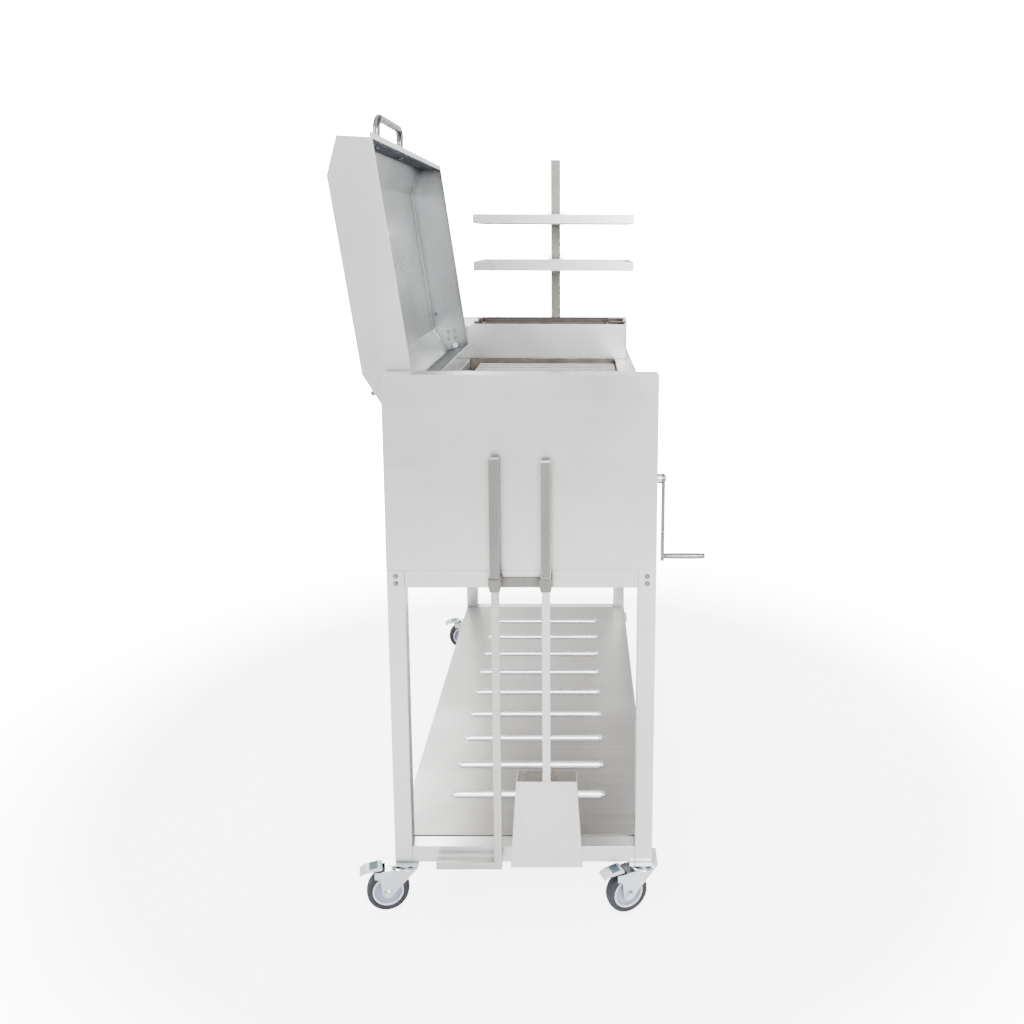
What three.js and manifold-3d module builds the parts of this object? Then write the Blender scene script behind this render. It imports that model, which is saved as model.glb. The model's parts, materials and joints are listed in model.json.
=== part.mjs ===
// A charcoal and wood grill cart: a double-walled steel cabinet on a square-tube frame with four
// casters. It has a tilting hood, a grate raised by a crank, an open fire box with an ember basket,
// two sliding racks on a post, and an ash rake and shovel hung on the left end.
// Millimetres. X runs from the left end to the right end, Y from the front (crank side) to the rear,
// and Z up from the floor.

import * as THREE from 'three';
import { mergeVertices } from 'three/addons/utils/BufferGeometryUtils.js';
import Module from 'manifold-3d';

const wasm = await Module();
wasm.setup();

// ---- Driving dimensions ----

const GAP = 0.3; // clearance between two pieces that touch

const CART_LENGTH = 1500;
const CART_DEPTH = 600;
const FRAME_TOP = 837;
const TUBE = 40; // square tube of the legs and rails
const TUBE_WALL = 2;
const SHEET = 2; // stainless sheet of panels, shelf and hood

const WALL_TOP = 1169; // ledge that the closed hood comes down to
const END_PANEL_TOP = 1276;
const END_WALL = 62; // depth of the hollow end walls
const FRONT_WALL = 55;
const REAR_WALL = 68;

const SHELF_LIP = 8;
const SLOT_COUNT = 9;
const SLOT_PITCH = 139;
const SLOT_FIRST = 209;
const SLOT_LENGTH = 380;
const SLOT_WIDTH = 20;

const HOOD_START = 65; // left side of the hood
const HOOD_END = 1113;
const HOOD_RIM_HALF = 284;
const HOOD_SHOULDER_HALF = 298;
const HOOD_TOP_HALF = 218;
const HOOD_RIM_LIFT = 3; // closed rim above the wall top
const HOOD_SHOULDER_RISE = 73;
const HOOD_TOP_RISE = 108;
const HOOD_HEM = 12;
const HINGE_INSET = 20; // hinge axis in from the rear face of the cabinet
const HINGE_RISE = 45; // hinge axis above the wall top
const HINGE_PIN_RADIUS = 6;
const HINGE_HEAD = 3; // how far the pin head and washer stand out past the pin
const HINGE_HEAD_ROOM = 9.4; // largest head that clears the sloping rear wall of the hood
const HOOD_OPEN_DEG = 98.05;

const HANDLE_START = 297;
const HANDLE_SPAN = 300;
const HANDLE_STANDOFF = 68;
const HANDLE_RADIUS = 9.5;
const HANDLE_BEND = 34;

const STOP_END_INSET = 90;
const STOP_TOP_DROP = 20; // top of the hood stop below the hinge axis
const STOP_WALL = 3;
const STOP_FOOT = 10;

const PAN_CLEARANCE = 2;
const BRICK_THICKNESS = 30;
const BRICK_LENGTH = 230;
const BRICK_GROOVE = 3;

const GRATE_TOP = 1157;
const GRATE_START = 76;
const GRATE_END = 1100;
const GRATE_FRONT = -240;
const GRATE_REAR = 198;
const GRATE_PITCH = 36;
const GRATE_VEE = 24;
const GRATE_VEE_DEPTH = 13;
const GRATE_SHEET = 2;
const GRATE_TIE = 4;
const GRATE_FRAME_HEIGHT = 26;
const GRATE_FRAME_WIDTH = 6;
const GRATE_TRAVEL = 220;
const LIFT_NEAR = 300; // left pair of lift lugs
const LIFT_FAR = 880;
const LIFT_LUG = 12;
const LIFT_SLOT_SIDE = 3;
const LIFT_LUG_REACH = 10;

const CRANK_X = 150;
const CRANK_Z = 1010;
const CRANK_BOSS_RADIUS = 12;
const CRANK_BOSS_REACH = 22;
const CRANK_FLANGE_RADIUS = 22;
const CRANK_FLANGE = 4;
const CRANK_SHAFT_RADIUS = 6;
const CRANK_ARM_LENGTH = 190;
const CRANK_ARM_WIDTH = 24;
const CRANK_ARM_THICK = 7;
const CRANK_GRIP_RADIUS = 7;
const CRANK_GRIP_LENGTH = 94;
const GRIP_PIN_RADIUS = 4;
const DRUM_RADIUS = 20;
const DRUM_FLANGE_RADIUS = 27;
const DRUM_WIDTH = 24;

const FIREBOX_START = 1118;
const FIREBOX_END = 1400;
const FIREBOX_FRONT = -283;
const FIREBOX_REAR = 228;
const FIREBOX_TOP = 1283;
const FIREBOX_HEM = 6;
const CHEEK_TOP = 1276;
const DIVIDER_START = 1110;
const DIVIDER_BOTTOM = 1000; // embers are raked under the divider
const BASKET_INSET = 12;
const BASKET_BAR = 10;
const BASKET_BOTTOM = 1010;
const BASKET_RING_DROP = 16; // top of the basket ring below the fire box rim
const BASKET_BAR_COUNT = 7;
const BASKET_HOOK_WIDTH = 30;
const BASKET_TIE_INSET = 60;

const POST_SIZE = 34;
const POST_Y = -40;
const POST_FOOT = 860;
const POST_TOP = 1840;
const RACK_START = 1130;
const RACK_END = 1480;
const RACK_FRONT = -305;
const RACK_REAR = 220;
const RACK_BAR = 30; // height of the rack frame
const RACK_FRAME_WALL = 5;
const RACK_ROD = 8;
const RACK_ROD_COUNT = 11;
const UPPER_RACK_BOTTOM = 1610;
const LOWER_RACK_BOTTOM = 1457;
const COLLAR_WALL = 8;
const COLLAR_CLEARANCE = 1;
const COLLAR_TAB_RISE = 20;
const COLLAR_TAB = 6;

const CUT = 1; // how far a cutting solid runs past what it cuts
const WELD = 1; // how far joined solids run into each other
const PIN_SIDES = 16;
const TYRE_SIDES = 24;
const CRANK_BOSS_INNER = 4; // bearing boss past the inside of the wall sheet
const CRANK_HUB_CAP = 3;
const DRUM_FLANGE = 3;
const GRIP_PIN_CAP = 3;
const STRIP_MARGIN = 9;
const STRIP_END_GAP = 4;
const PIN_TAIL = 8; // hinge pin past the inside of the sheet it is fixed in
const PIN_HEAD = 5;
const BASKET_HOOK_THICK = 3;
const HOLDER_STRIP_DROP = 6;
const HOLDER_RIM = 10; // height of the straight rim of each funnel
const FORK_SIDE_GAP = 2;
const CROWN_LIP = 3;
const FORK_TIP_STEPS = 8;
const FORK_TIP_START = 1.1; // in half turns
const FORK_TIP_SWEEP = 0.8;
const FORK_KNEE = 18; // knee and nose of the fork, past the axle
const FORK_KNEE_Z = 84;
const FORK_NOSE = 30;
const FORK_NOSE_Z = 88;
const FORK_BRIDGE = 6;
const AXLE_END = 5;
const RIM_DISH = 6;
const RIM_HUB = 15;
const RIM_HUB_FOOT = 20;
const PEDAL_START = 12;

const TOOL_X = -25;
const RAKE_Y = 57;
const SHOVEL_Y = -55;
const SHAFT_WIDTH = 18;
const SHAFT_THICK = 12;
const SLEEVE_WIDTH = 22;
const SLEEVE_THICK = 16;
const RAKE_TOP = 1099;
const RAKE_BOTTOM = 127;
const RAKE_REACH = 152; // blade length to the rear of the shaft
const RAKE_BLADE_HEIGHT = 18;
const RAKE_BLADE_DEPTH = 22;
const RAKE_SHEET = 3;
const SHOVEL_TOP = 1092;
const SHOVEL_BOTTOM = 134;
const SHOVEL_PAN_TOP = 348;
const SHOVEL_TOP_WIDTH = 137;
const SHOVEL_LIP_WIDTH = 166;
const SHOVEL_DEPTH = 46;
const SHOVEL_LIP_DEPTH = 10;
const HOLDER_BOTTOM = 800;
const HOLDER_HEIGHT = 28;
const HOLDER_WALL = 4.5;
const HOLDER_STRIP = 3;

const CASTER_HEIGHT = 125;
const CASTER_PLATE = 66;
const CASTER_PLATE_THICK = 2.5;
const WHEEL_RADIUS = 50;
const WHEEL_WIDTH = 30;
const RIM_RADIUS = 36;
const RIM_WIDTH = 28;
const AXLE_RADIUS = 5;
const AXLE_CLEARANCE = 0.05; // running clearance of a round fit
const TRAIL = 42;
const FORK_PLATE = 2.5;
const FORK_CROWN_TOP = 112;
const RACE_RADIUS = 25;
const FORK_CROWN_UNDER = 104;
const FORK_TIP_RADIUS = 14;
const PEDAL_LENGTH = 50;
const PEDAL_WIDTH = 34;
const REAR_HEADING_DEG = 102;
const FRONT_HEADING_DEG = 112;

// ---- Values that follow from them ----

const FRONT = -CART_DEPTH / 2;
const REAR = CART_DEPTH / 2;
const CABINET_BOTTOM = FRAME_TOP + GAP;
const RAIL_BOTTOM = FRAME_TOP - TUBE;
const LOW_RAIL_TOP = CASTER_HEIGHT + TUBE;
const SHELF_BOTTOM = LOW_RAIL_TOP + GAP;
const INNER_START = END_WALL + GAP;
const INNER_END = CART_LENGTH - END_WALL - GAP;
const INNER_FRONT = FRONT + FRONT_WALL;
const INNER_REAR = REAR - REAR_WALL;
const HINGE_Y = REAR - HINGE_INSET;
const HINGE_Z = WALL_TOP + HINGE_RISE;
const POST_X = CART_LENGTH + GAP + POST_SIZE / 2;
const BRICK_BOTTOM = CABINET_BOTTOM + SHEET + GAP;
const ROUND = 20; // sides of a round piece

// ---- Finishes ----

const FINISHES = {
  steel: { color: 0xd9d9d7, roughness: 0.3, metalness: 1 },
  tool_steel: { color: 0xa8a59c, roughness: 0.4, metalness: 1 },
  fire_steel: { color: 0x8c8780, roughness: 0.5, metalness: 1 },
  zinc: { color: 0xe6edf0, roughness: 0.25, metalness: 1 },
  firebrick: { color: 0xc9b191, roughness: 0.9, metalness: 0 },
  rubber: { color: 0x25282d, roughness: 0.8, metalness: 0 },
  wheel_plastic: { color: 0xb9bdd6, roughness: 0.5, metalness: 0 },
  pedal_plastic: { color: 0xd7e2e6, roughness: 0.4, metalness: 0 },
};

// ---- Solids ----

function solidOf(geometry) {
  const bare = geometry.index ? geometry.toNonIndexed() : geometry.clone();
  bare.deleteAttribute('normal');
  bare.deleteAttribute('uv');
  const merged = mergeVertices(bare, 1e-4);
  return new wasm.Manifold(new wasm.Mesh({
    numProp: 3,
    vertProperties: new Float32Array(merged.attributes.position.array),
    triVerts: new Uint32Array(merged.index.array),
  }));
}

function geometryOf(solid) {
  const mesh = solid.getMesh();
  const geometry = new THREE.BufferGeometry();
  geometry.setAttribute('position', new THREE.BufferAttribute(new Float32Array(mesh.vertProperties), 3));
  geometry.setIndex(new THREE.BufferAttribute(new Uint32Array(mesh.triVerts), 1));
  const flat = geometry.toNonIndexed();
  flat.computeVertexNormals();
  return flat;
}

// A box between two corners. Each vertex takes the exact limit, so boxes that share one stay flush.
function box(x0, x1, y0, y1, z0, z1) {
  const geometry = new THREE.BoxGeometry(1, 1, 1);
  const corners = geometry.attributes.position;
  for (let i = 0; i < corners.count; i += 1) {
    const x = corners.getX(i) > 0 ? x1 : x0;
    const y = corners.getY(i) > 0 ? y1 : y0;
    const z = corners.getZ(i) > 0 ? z1 : z0;
    corners.setXYZ(i, x, y, z);
  }
  return solidOf(geometry);
}

// An outline of [y, z] points carried along X.
function prismX(outline, x0, x1) {
  const shape = new THREE.Shape(outline.map(([y, z]) => new THREE.Vector2(y, z)));
  const geometry = new THREE.ExtrudeGeometry(shape, { depth: x1 - x0, bevelEnabled: false });
  geometry.applyMatrix4(new THREE.Matrix4().set(0, 0, 1, x0, 1, 0, 0, 0, 0, 1, 0, 0, 0, 0, 0, 1));
  return solidOf(geometry);
}

// An outline of [x, z] points carried along Y.
function prismY(outline, y0, y1) {
  const shape = new THREE.Shape(outline.map(([x, z]) => new THREE.Vector2(x, z)));
  const geometry = new THREE.ExtrudeGeometry(shape, { depth: y1 - y0, bevelEnabled: false });
  geometry.applyMatrix4(new THREE.Matrix4().set(1, 0, 0, 0, 0, 0, -1, y1, 0, 1, 0, 0, 0, 0, 0, 1));
  return solidOf(geometry);
}

// A round bar along X, Y or Z from one coordinate to another.
function rod(axis, radius, from, to, a, b, sides = ROUND) {
  const geometry = new THREE.CylinderGeometry(radius, radius, to - from, sides);
  const middle = (from + to) / 2;
  if (axis === 'x') {
    geometry.rotateZ(Math.PI / 2);
    geometry.translate(middle, a, b);
  } else if (axis === 'y') {
    geometry.translate(a, middle, b);
  } else {
    geometry.rotateX(Math.PI / 2);
    geometry.translate(a, b, middle);
  }
  return solidOf(geometry);
}

// The radius of a many-sided hole whose flats clear a round bar of the given radius.
function holeRadius(radius, clearance, sides = ROUND) {
  return (radius + clearance) / Math.cos(Math.PI / sides);
}

// A profile of [radius, along] points turned round the Y axis.
function turnedY(profile, sides = ROUND) {
  return solidOf(new THREE.LatheGeometry(profile.map(([r, y]) => new THREE.Vector2(r, y)), sides));
}

function joined(solids) {
  return solids.reduce((sum, solid) => sum.add(solid));
}

// A convex outline moved inwards by one distance per side (side i runs from point i to point i + 1).
function insetOutline(points, distances) {
  const count = points.length;
  const lines = points.map(([ax, ay], i) => {
    const [bx, by] = points[(i + 1) % count];
    const length = Math.hypot(bx - ax, by - ay);
    const nx = -(by - ay) / length;
    const ny = (bx - ax) / length;
    return { nx, ny, c: nx * ax + ny * ay + distances[i] };
  });
  return points.map((_, i) => {
    const one = lines[(i + count - 1) % count];
    const two = lines[i];
    const det = one.nx * two.ny - one.ny * two.nx;
    return [(one.c * two.ny - two.c * one.ny) / det, (one.nx * two.c - two.nx * one.c) / det];
  });
}

// A hollow wall folded from sheet: closed on top and at the sides, open underneath.
function hollowWall(x0, x1, y0, y1, top) {
  const inside = box(x0 + SHEET, x1 - SHEET, y0 + SHEET, y1 - SHEET, CABINET_BOTTOM - 1, top - SHEET);
  return box(x0, x1, y0, y1, CABINET_BOTTOM, top).subtract(inside);
}

// ---- The cart as a scene graph ----

const cart = new THREE.Group();

function place(parent, name, finish, solid) {
  const mesh = new THREE.Mesh(geometryOf(solid), new THREE.MeshStandardMaterial(FINISHES[finish]));
  mesh.name = name;
  parent.add(mesh);
  return mesh;
}

// ---- Frame: legs, rails and shelf ----

function buildFrame() {
  const ends = { left: 0, right: CART_LENGTH - TUBE };
  const sides = { front: FRONT, rear: REAR - TUBE };
  const inset = TUBE_WALL;
  for (const [end, x] of Object.entries(ends)) {
    for (const [side, y] of Object.entries(sides)) {
      const outer = box(x, x + TUBE, y, y + TUBE, CASTER_HEIGHT, FRAME_TOP);
      const bore = box(x + inset, x + TUBE - inset, y + inset, y + TUBE - inset,
        CASTER_HEIGHT - CUT, FRAME_TOP + CUT);
      place(cart, `leg_${end}_${side}`, 'steel', outer.subtract(bore));
    }
  }
  const levels = { top: RAIL_BOTTOM, bottom: CASTER_HEIGHT };
  for (const [level, z] of Object.entries(levels)) {
    for (const [side, y] of Object.entries(sides)) {
      const x0 = TUBE + GAP;
      const x1 = CART_LENGTH - TUBE - GAP;
      const outer = box(x0, x1, y, y + TUBE, z, z + TUBE);
      const bore = box(x0 - 1, x1 + 1, y + inset, y + TUBE - inset, z + inset, z + TUBE - inset);
      place(cart, `${level}_rail_${side}`, 'steel', outer.subtract(bore));
    }
    for (const [end, x] of Object.entries(ends)) {
      const y0 = FRONT + TUBE + GAP;
      const y1 = REAR - TUBE - GAP;
      const outer = box(x, x + TUBE, y0, y1, z, z + TUBE);
      const bore = box(x + inset, x + TUBE - inset, y0 - 1, y1 + 1, z + inset, z + TUBE - inset);
      place(cart, `${level}_rail_${end}`, 'steel', outer.subtract(bore));
    }
  }
}

function buildShelf() {
  const x0 = TUBE + GAP;
  const x1 = CART_LENGTH - TUBE - GAP;
  const lipHalf = CART_DEPTH / 2 - TUBE - GAP;
  let shelf = joined([
    box(x0, x1, FRONT, REAR, SHELF_BOTTOM, SHELF_BOTTOM + SHEET),
    box(x0, x0 + SHEET, -lipHalf, lipHalf, SHELF_BOTTOM - SHELF_LIP, SHELF_BOTTOM + SHEET),
    box(x1 - SHEET, x1, -lipHalf, lipHalf, SHELF_BOTTOM - SHELF_LIP, SHELF_BOTTOM + SHEET),
  ]);
  const straight = SLOT_LENGTH / 2 - SLOT_WIDTH / 2;
  for (let i = 0; i < SLOT_COUNT; i += 1) {
    const x = SLOT_FIRST + i * SLOT_PITCH;
    const z0 = SHELF_BOTTOM - 1;
    const z1 = SHELF_BOTTOM + SHEET + 1;
    const slot = joined([
      box(x - SLOT_WIDTH / 2, x + SLOT_WIDTH / 2, -straight, straight, z0, z1),
      rod('z', SLOT_WIDTH / 2, z0, z1, x, -straight, 12),
      rod('z', SLOT_WIDTH / 2, z0, z1, x, straight, 12),
    ]);
    shelf = shelf.subtract(slot);
  }
  place(cart, 'lower_shelf', 'steel', shelf);
}

// ---- Cabinet: hollow walls, pan, bricks, divider ----

function buildCabinet() {
  const pinHole = (x0, x1) => rod('x', holeRadius(HINGE_PIN_RADIUS, GAP), x0, x1, HINGE_Y, HINGE_Z);
  const left = hollowWall(0, END_WALL, FRONT, REAR, END_PANEL_TOP);
  place(cart, 'left_end_panel', 'steel', left.subtract(pinHole(END_WALL - SHEET - 1, END_WALL + 1)));
  place(cart, 'right_end_panel', 'steel',
    hollowWall(CART_LENGTH - END_WALL, CART_LENGTH, FRONT, REAR, END_PANEL_TOP));

  const slotTop = GRATE_TOP - GRATE_FRAME_HEIGHT + LIFT_LUG + LIFT_SLOT_SIDE;
  const slotBottom = GRATE_TOP - GRATE_FRAME_HEIGHT - GRATE_TRAVEL - LIFT_SLOT_SIDE;
  const half = LIFT_LUG / 2 + LIFT_SLOT_SIDE;
  const liftSlots = (y0, y1) => joined([LIFT_NEAR, LIFT_FAR].map((x) => (
    box(x - half, x + half, y0, y1, slotBottom, slotTop))));

  const front = hollowWall(INNER_START, INNER_END, FRONT, INNER_FRONT, WALL_TOP);
  const holeSize = holeRadius(CRANK_BOSS_RADIUS, GAP);
  const bearingHole = rod('y', holeSize, FRONT - CUT, FRONT + SHEET + CUT, CRANK_X, CRANK_Z);
  place(cart, 'front_panel', 'steel',
    front.subtract(liftSlots(INNER_FRONT - SHEET - 1, INNER_FRONT + 1)).subtract(bearingHole));
  const rear = hollowWall(INNER_START, INNER_END, INNER_REAR, REAR, WALL_TOP);
  place(cart, 'rear_panel', 'steel', rear.subtract(liftSlots(INNER_REAR - 1, INNER_REAR + SHEET + 1)));

  const x0 = INNER_START + PAN_CLEARANCE;
  const x1 = INNER_END - PAN_CLEARANCE;
  const y0 = INNER_FRONT + PAN_CLEARANCE;
  const y1 = INNER_REAR - PAN_CLEARANCE;
  const panTop = BRICK_BOTTOM + BRICK_THICKNESS;
  const panInside = box(x0 + SHEET, x1 - SHEET, y0 + SHEET, y1 - SHEET, CABINET_BOTTOM + SHEET, panTop + 1);
  place(cart, 'ash_pan', 'steel', box(x0, x1, y0, y1, CABINET_BOTTOM, panTop).subtract(panInside));

  const bx0 = x0 + SHEET + GAP;
  const bx1 = x1 - SHEET - GAP;
  const by0 = y0 + SHEET + GAP;
  const by1 = y1 - SHEET - GAP;
  let bricks = box(bx0, bx1, by0, by1, BRICK_BOTTOM, panTop);
  const columns = Math.round((bx1 - bx0) / BRICK_LENGTH);
  const rows = Math.round((by1 - by0) / (BRICK_LENGTH / 2));
  const groove = BRICK_GROOVE / 2;
  for (let i = 1; i < columns; i += 1) {
    const x = bx0 + (i * (bx1 - bx0)) / columns;
    bricks = bricks.subtract(
      box(x - groove, x + groove, by0 - CUT, by1 + CUT, panTop - BRICK_GROOVE, panTop + CUT));
  }
  for (let i = 1; i < rows; i += 1) {
    const y = by0 + (i * (by1 - by0)) / rows;
    bricks = bricks.subtract(
      box(bx0 - CUT, bx1 + CUT, y - groove, y + groove, panTop - BRICK_GROOVE, panTop + CUT));
  }
  place(cart, 'firebrick_bed', 'firebrick', bricks);

  place(cart, 'fire_divider', 'fire_steel', box(DIVIDER_START, DIVIDER_START + SHEET + 1,
    INNER_FRONT + GAP, INNER_REAR - GAP, DIVIDER_BOTTOM, WALL_TOP));
}

// ---- Hood, drawn closed and turned open about its hinge ----

function hoodSection() {
  const rim = WALL_TOP + HOOD_RIM_LIFT;
  return [
    [-HOOD_RIM_HALF, rim],
    [HOOD_RIM_HALF, rim],
    [HOOD_SHOULDER_HALF, rim + HOOD_SHOULDER_RISE],
    [HOOD_TOP_HALF, rim + HOOD_TOP_RISE],
    [-HOOD_TOP_HALF, rim + HOOD_TOP_RISE],
    [-HOOD_SHOULDER_HALF, rim + HOOD_SHOULDER_RISE],
  ];
}

function buildHood() {
  const hood = new THREE.Group();
  hood.position.set(0, HINGE_Y, HINGE_Z);
  hood.rotation.x = THREE.MathUtils.degToRad(-HOOD_OPEN_DEG);
  const closed = new THREE.Group();
  closed.position.set(0, -HINGE_Y, -HINGE_Z);
  hood.add(closed);
  cart.add(hood);

  const section = hoodSection();
  const rim = section[0][1];
  const hollow = insetOutline(section, [-20, SHEET, SHEET, SHEET, SHEET, SHEET]);
  const shell = prismX(section, HOOD_START, HOOD_END)
    .subtract(prismX(hollow, HOOD_START + SHEET, HOOD_END - SHEET))
    .add(box(HOOD_START, HOOD_END, -HOOD_RIM_HALF - HOOD_HEM, -HOOD_RIM_HALF + SHEET, rim, rim + SHEET))
    .add(box(HOOD_START, HOOD_START + HOOD_HEM, -HOOD_RIM_HALF, HOOD_RIM_HALF, rim, rim + SHEET))
    .add(box(HOOD_END - HOOD_HEM, HOOD_END, -HOOD_RIM_HALF, HOOD_RIM_HALF, rim, rim + SHEET));
  const pinRadius = holeRadius(HINGE_PIN_RADIUS, AXLE_CLEARANCE);
  const pinHoles = rod('x', pinRadius, HOOD_START - 1, HOOD_END + 1, HINGE_Y, HINGE_Z);

  // The handle stands on the sloping front face, square to it.
  const slope = Math.atan2(HOOD_SHOULDER_HALF - HOOD_RIM_HALF, HOOD_SHOULDER_RISE);
  const across = [-Math.cos(slope), -Math.sin(slope)];
  const faceY = -(HOOD_RIM_HALF + HOOD_SHOULDER_HALF) / 2;
  const faceZ = rim + HOOD_SHOULDER_RISE / 2;
  const out = (distance) => [faceY + across[0] * distance, faceZ + across[1] * distance];
  const boltPoints = [HANDLE_START, HANDLE_START + HANDLE_SPAN];

  place(closed, 'hood_shell', 'steel', shell.subtract(pinHoles));

  // Backing strip behind the front face, under the handle bolts.
  const inner = SHEET + GAP;
  const [stripY, stripZ] = out(-inner);
  const along = [-across[1], across[0]];
  const stripHalf = HOOD_SHOULDER_RISE / 2 - STRIP_MARGIN;
  const corner = (side, depth) => [
    stripY + along[0] * side * stripHalf - across[0] * depth,
    stripZ + along[1] * side * stripHalf - across[1] * depth,
  ];
  const strip = [corner(1, 0), corner(-1, 0), corner(-1, SHEET), corner(1, SHEET)];
  place(closed, 'handle_backing_strip', 'tool_steel',
    prismX(strip, HOOD_START + HOOD_HEM + STRIP_END_GAP, HOOD_END - HOOD_HEM - STRIP_END_GAP));

  const path = new THREE.CurvePath();
  const at = (x, distance) => new THREE.Vector3(x, ...out(distance));
  const [first, last] = boltPoints;
  const foot = GAP;
  const reach = HANDLE_STANDOFF;
  path.add(new THREE.LineCurve3(at(first, foot), at(first, reach - HANDLE_BEND)));
  path.add(new THREE.QuadraticBezierCurve3(
    at(first, reach - HANDLE_BEND), at(first, reach), at(first + HANDLE_BEND, reach)));
  path.add(new THREE.LineCurve3(at(first + HANDLE_BEND, reach), at(last - HANDLE_BEND, reach)));
  path.add(new THREE.QuadraticBezierCurve3(
    at(last - HANDLE_BEND, reach), at(last, reach), at(last, reach - HANDLE_BEND)));
  path.add(new THREE.LineCurve3(at(last, reach - HANDLE_BEND), at(last, foot)));
  const circle = new THREE.Shape();
  circle.absarc(0, 0, HANDLE_RADIUS, 0, 2 * Math.PI);
  const handle = new THREE.ExtrudeGeometry(circle, { steps: 26, curveSegments: 5, extrudePath: path });
  place(closed, 'hood_handle', 'steel', solidOf(handle));

  // Hinge pins, fixed in the cabinet, with a washer flange in the side gap and a head inside the hood.
  const headRadius = Math.min(HINGE_PIN_RADIUS + HINGE_HEAD, HINGE_HEAD_ROOM);
  const leftInside = HOOD_START + SHEET + GAP;
  const rightInside = HOOD_END - SHEET - GAP;
  const leftPin = joined([
    rod('x', HINGE_PIN_RADIUS, END_WALL - SHEET - PIN_TAIL, leftInside + WELD, HINGE_Y, HINGE_Z),
    rod('x', headRadius, END_WALL + GAP, HOOD_START - GAP, HINGE_Y, HINGE_Z),
    rod('x', headRadius, leftInside, leftInside + PIN_HEAD, HINGE_Y, HINGE_Z),
  ]);
  place(cart, 'hood_pin_left', 'zinc', leftPin);
  const rightPin = joined([
    rod('x', HINGE_PIN_RADIUS, rightInside - WELD, FIREBOX_START + SHEET + PIN_TAIL, HINGE_Y, HINGE_Z),
    rod('x', headRadius, HOOD_END + GAP, FIREBOX_START - GAP, HINGE_Y, HINGE_Z),
    rod('x', headRadius, rightInside - PIN_HEAD, rightInside, HINGE_Y, HINGE_Z),
  ]);
  place(cart, 'hood_pin_right', 'zinc', rightPin);

  // An angle on the rear ledge that the open hood leans on.
  const stopTop = HINGE_Z - STOP_TOP_DROP;
  const x0 = HOOD_START + STOP_END_INSET;
  const x1 = HOOD_END - STOP_END_INSET;
  const stop = joined([
    box(x0, x1, REAR - STOP_WALL, REAR, WALL_TOP + GAP, stopTop),
    box(x0, x1, REAR - STOP_FOOT, REAR, WALL_TOP + GAP, WALL_TOP + GAP + SHEET),
  ]);
  place(cart, 'hood_stop_angle', 'steel', stop);
}

// ---- Grate, its frame and lift lugs ----

function buildGrate() {
  const frameTop = GRATE_TOP - GRATE_VEE_DEPTH - GRATE_TIE - GAP;
  const frameBottom = GRATE_TOP - GRATE_FRAME_HEIGHT;
  const w = GRATE_FRAME_WIDTH;
  const lugTop = frameBottom + LIFT_LUG;
  const lugs = [LIFT_NEAR, LIFT_FAR].flatMap((x) => {
    const x0 = x - LIFT_LUG / 2;
    const x1 = x + LIFT_LUG / 2;
    return [
      box(x0, x1, INNER_FRONT - LIFT_LUG_REACH, GRATE_FRONT + WELD, frameBottom, lugTop),
      box(x0, x1, GRATE_REAR - WELD, INNER_REAR + LIFT_LUG_REACH, frameBottom, lugTop),
    ];
  });
  const frame = box(GRATE_START, GRATE_END, GRATE_FRONT, GRATE_REAR, frameBottom, frameTop)
    .subtract(box(GRATE_START + w, GRATE_END - w, GRATE_FRONT + w, GRATE_REAR - w,
      frameBottom - CUT, frameTop + CUT));
  place(cart, 'grate_frame', 'steel', joined([frame, ...lugs]));

  const z0 = GRATE_TOP - GRATE_VEE_DEPTH;
  const half = GRATE_VEE / 2;
  const count = Math.floor((GRATE_END - GRATE_START - GRATE_VEE) / GRATE_PITCH) + 1;
  const first = (GRATE_START + GRATE_END - (count - 1) * GRATE_PITCH) / 2;
  const lip = half - 1.5 * GRATE_SHEET;
  const bars = [];
  for (let i = 0; i < count; i += 1) {
    const x = first + i * GRATE_PITCH;
    const vee = [
      [x - half, GRATE_TOP], [x - 1, z0], [x + 1, z0], [x + half, GRATE_TOP],
      [x + lip, GRATE_TOP], [x, z0 + GRATE_SHEET], [x - lip, GRATE_TOP],
    ];
    bars.push(prismY(vee, GRATE_FRONT, GRATE_REAR));
  }
  const tieLength = [first - half, first + (count - 1) * GRATE_PITCH + half];
  for (const y of [GRATE_FRONT, GRATE_REAR - w - 2]) {
    bars.push(box(...tieLength, y + 1, y + w + 1, z0 - GRATE_TIE, z0 + 0.5));
  }
  place(cart, 'grill_grate', 'steel', joined(bars));
}

// ---- Crank: bearing, shaft with drum, arm and grip ----

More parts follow.
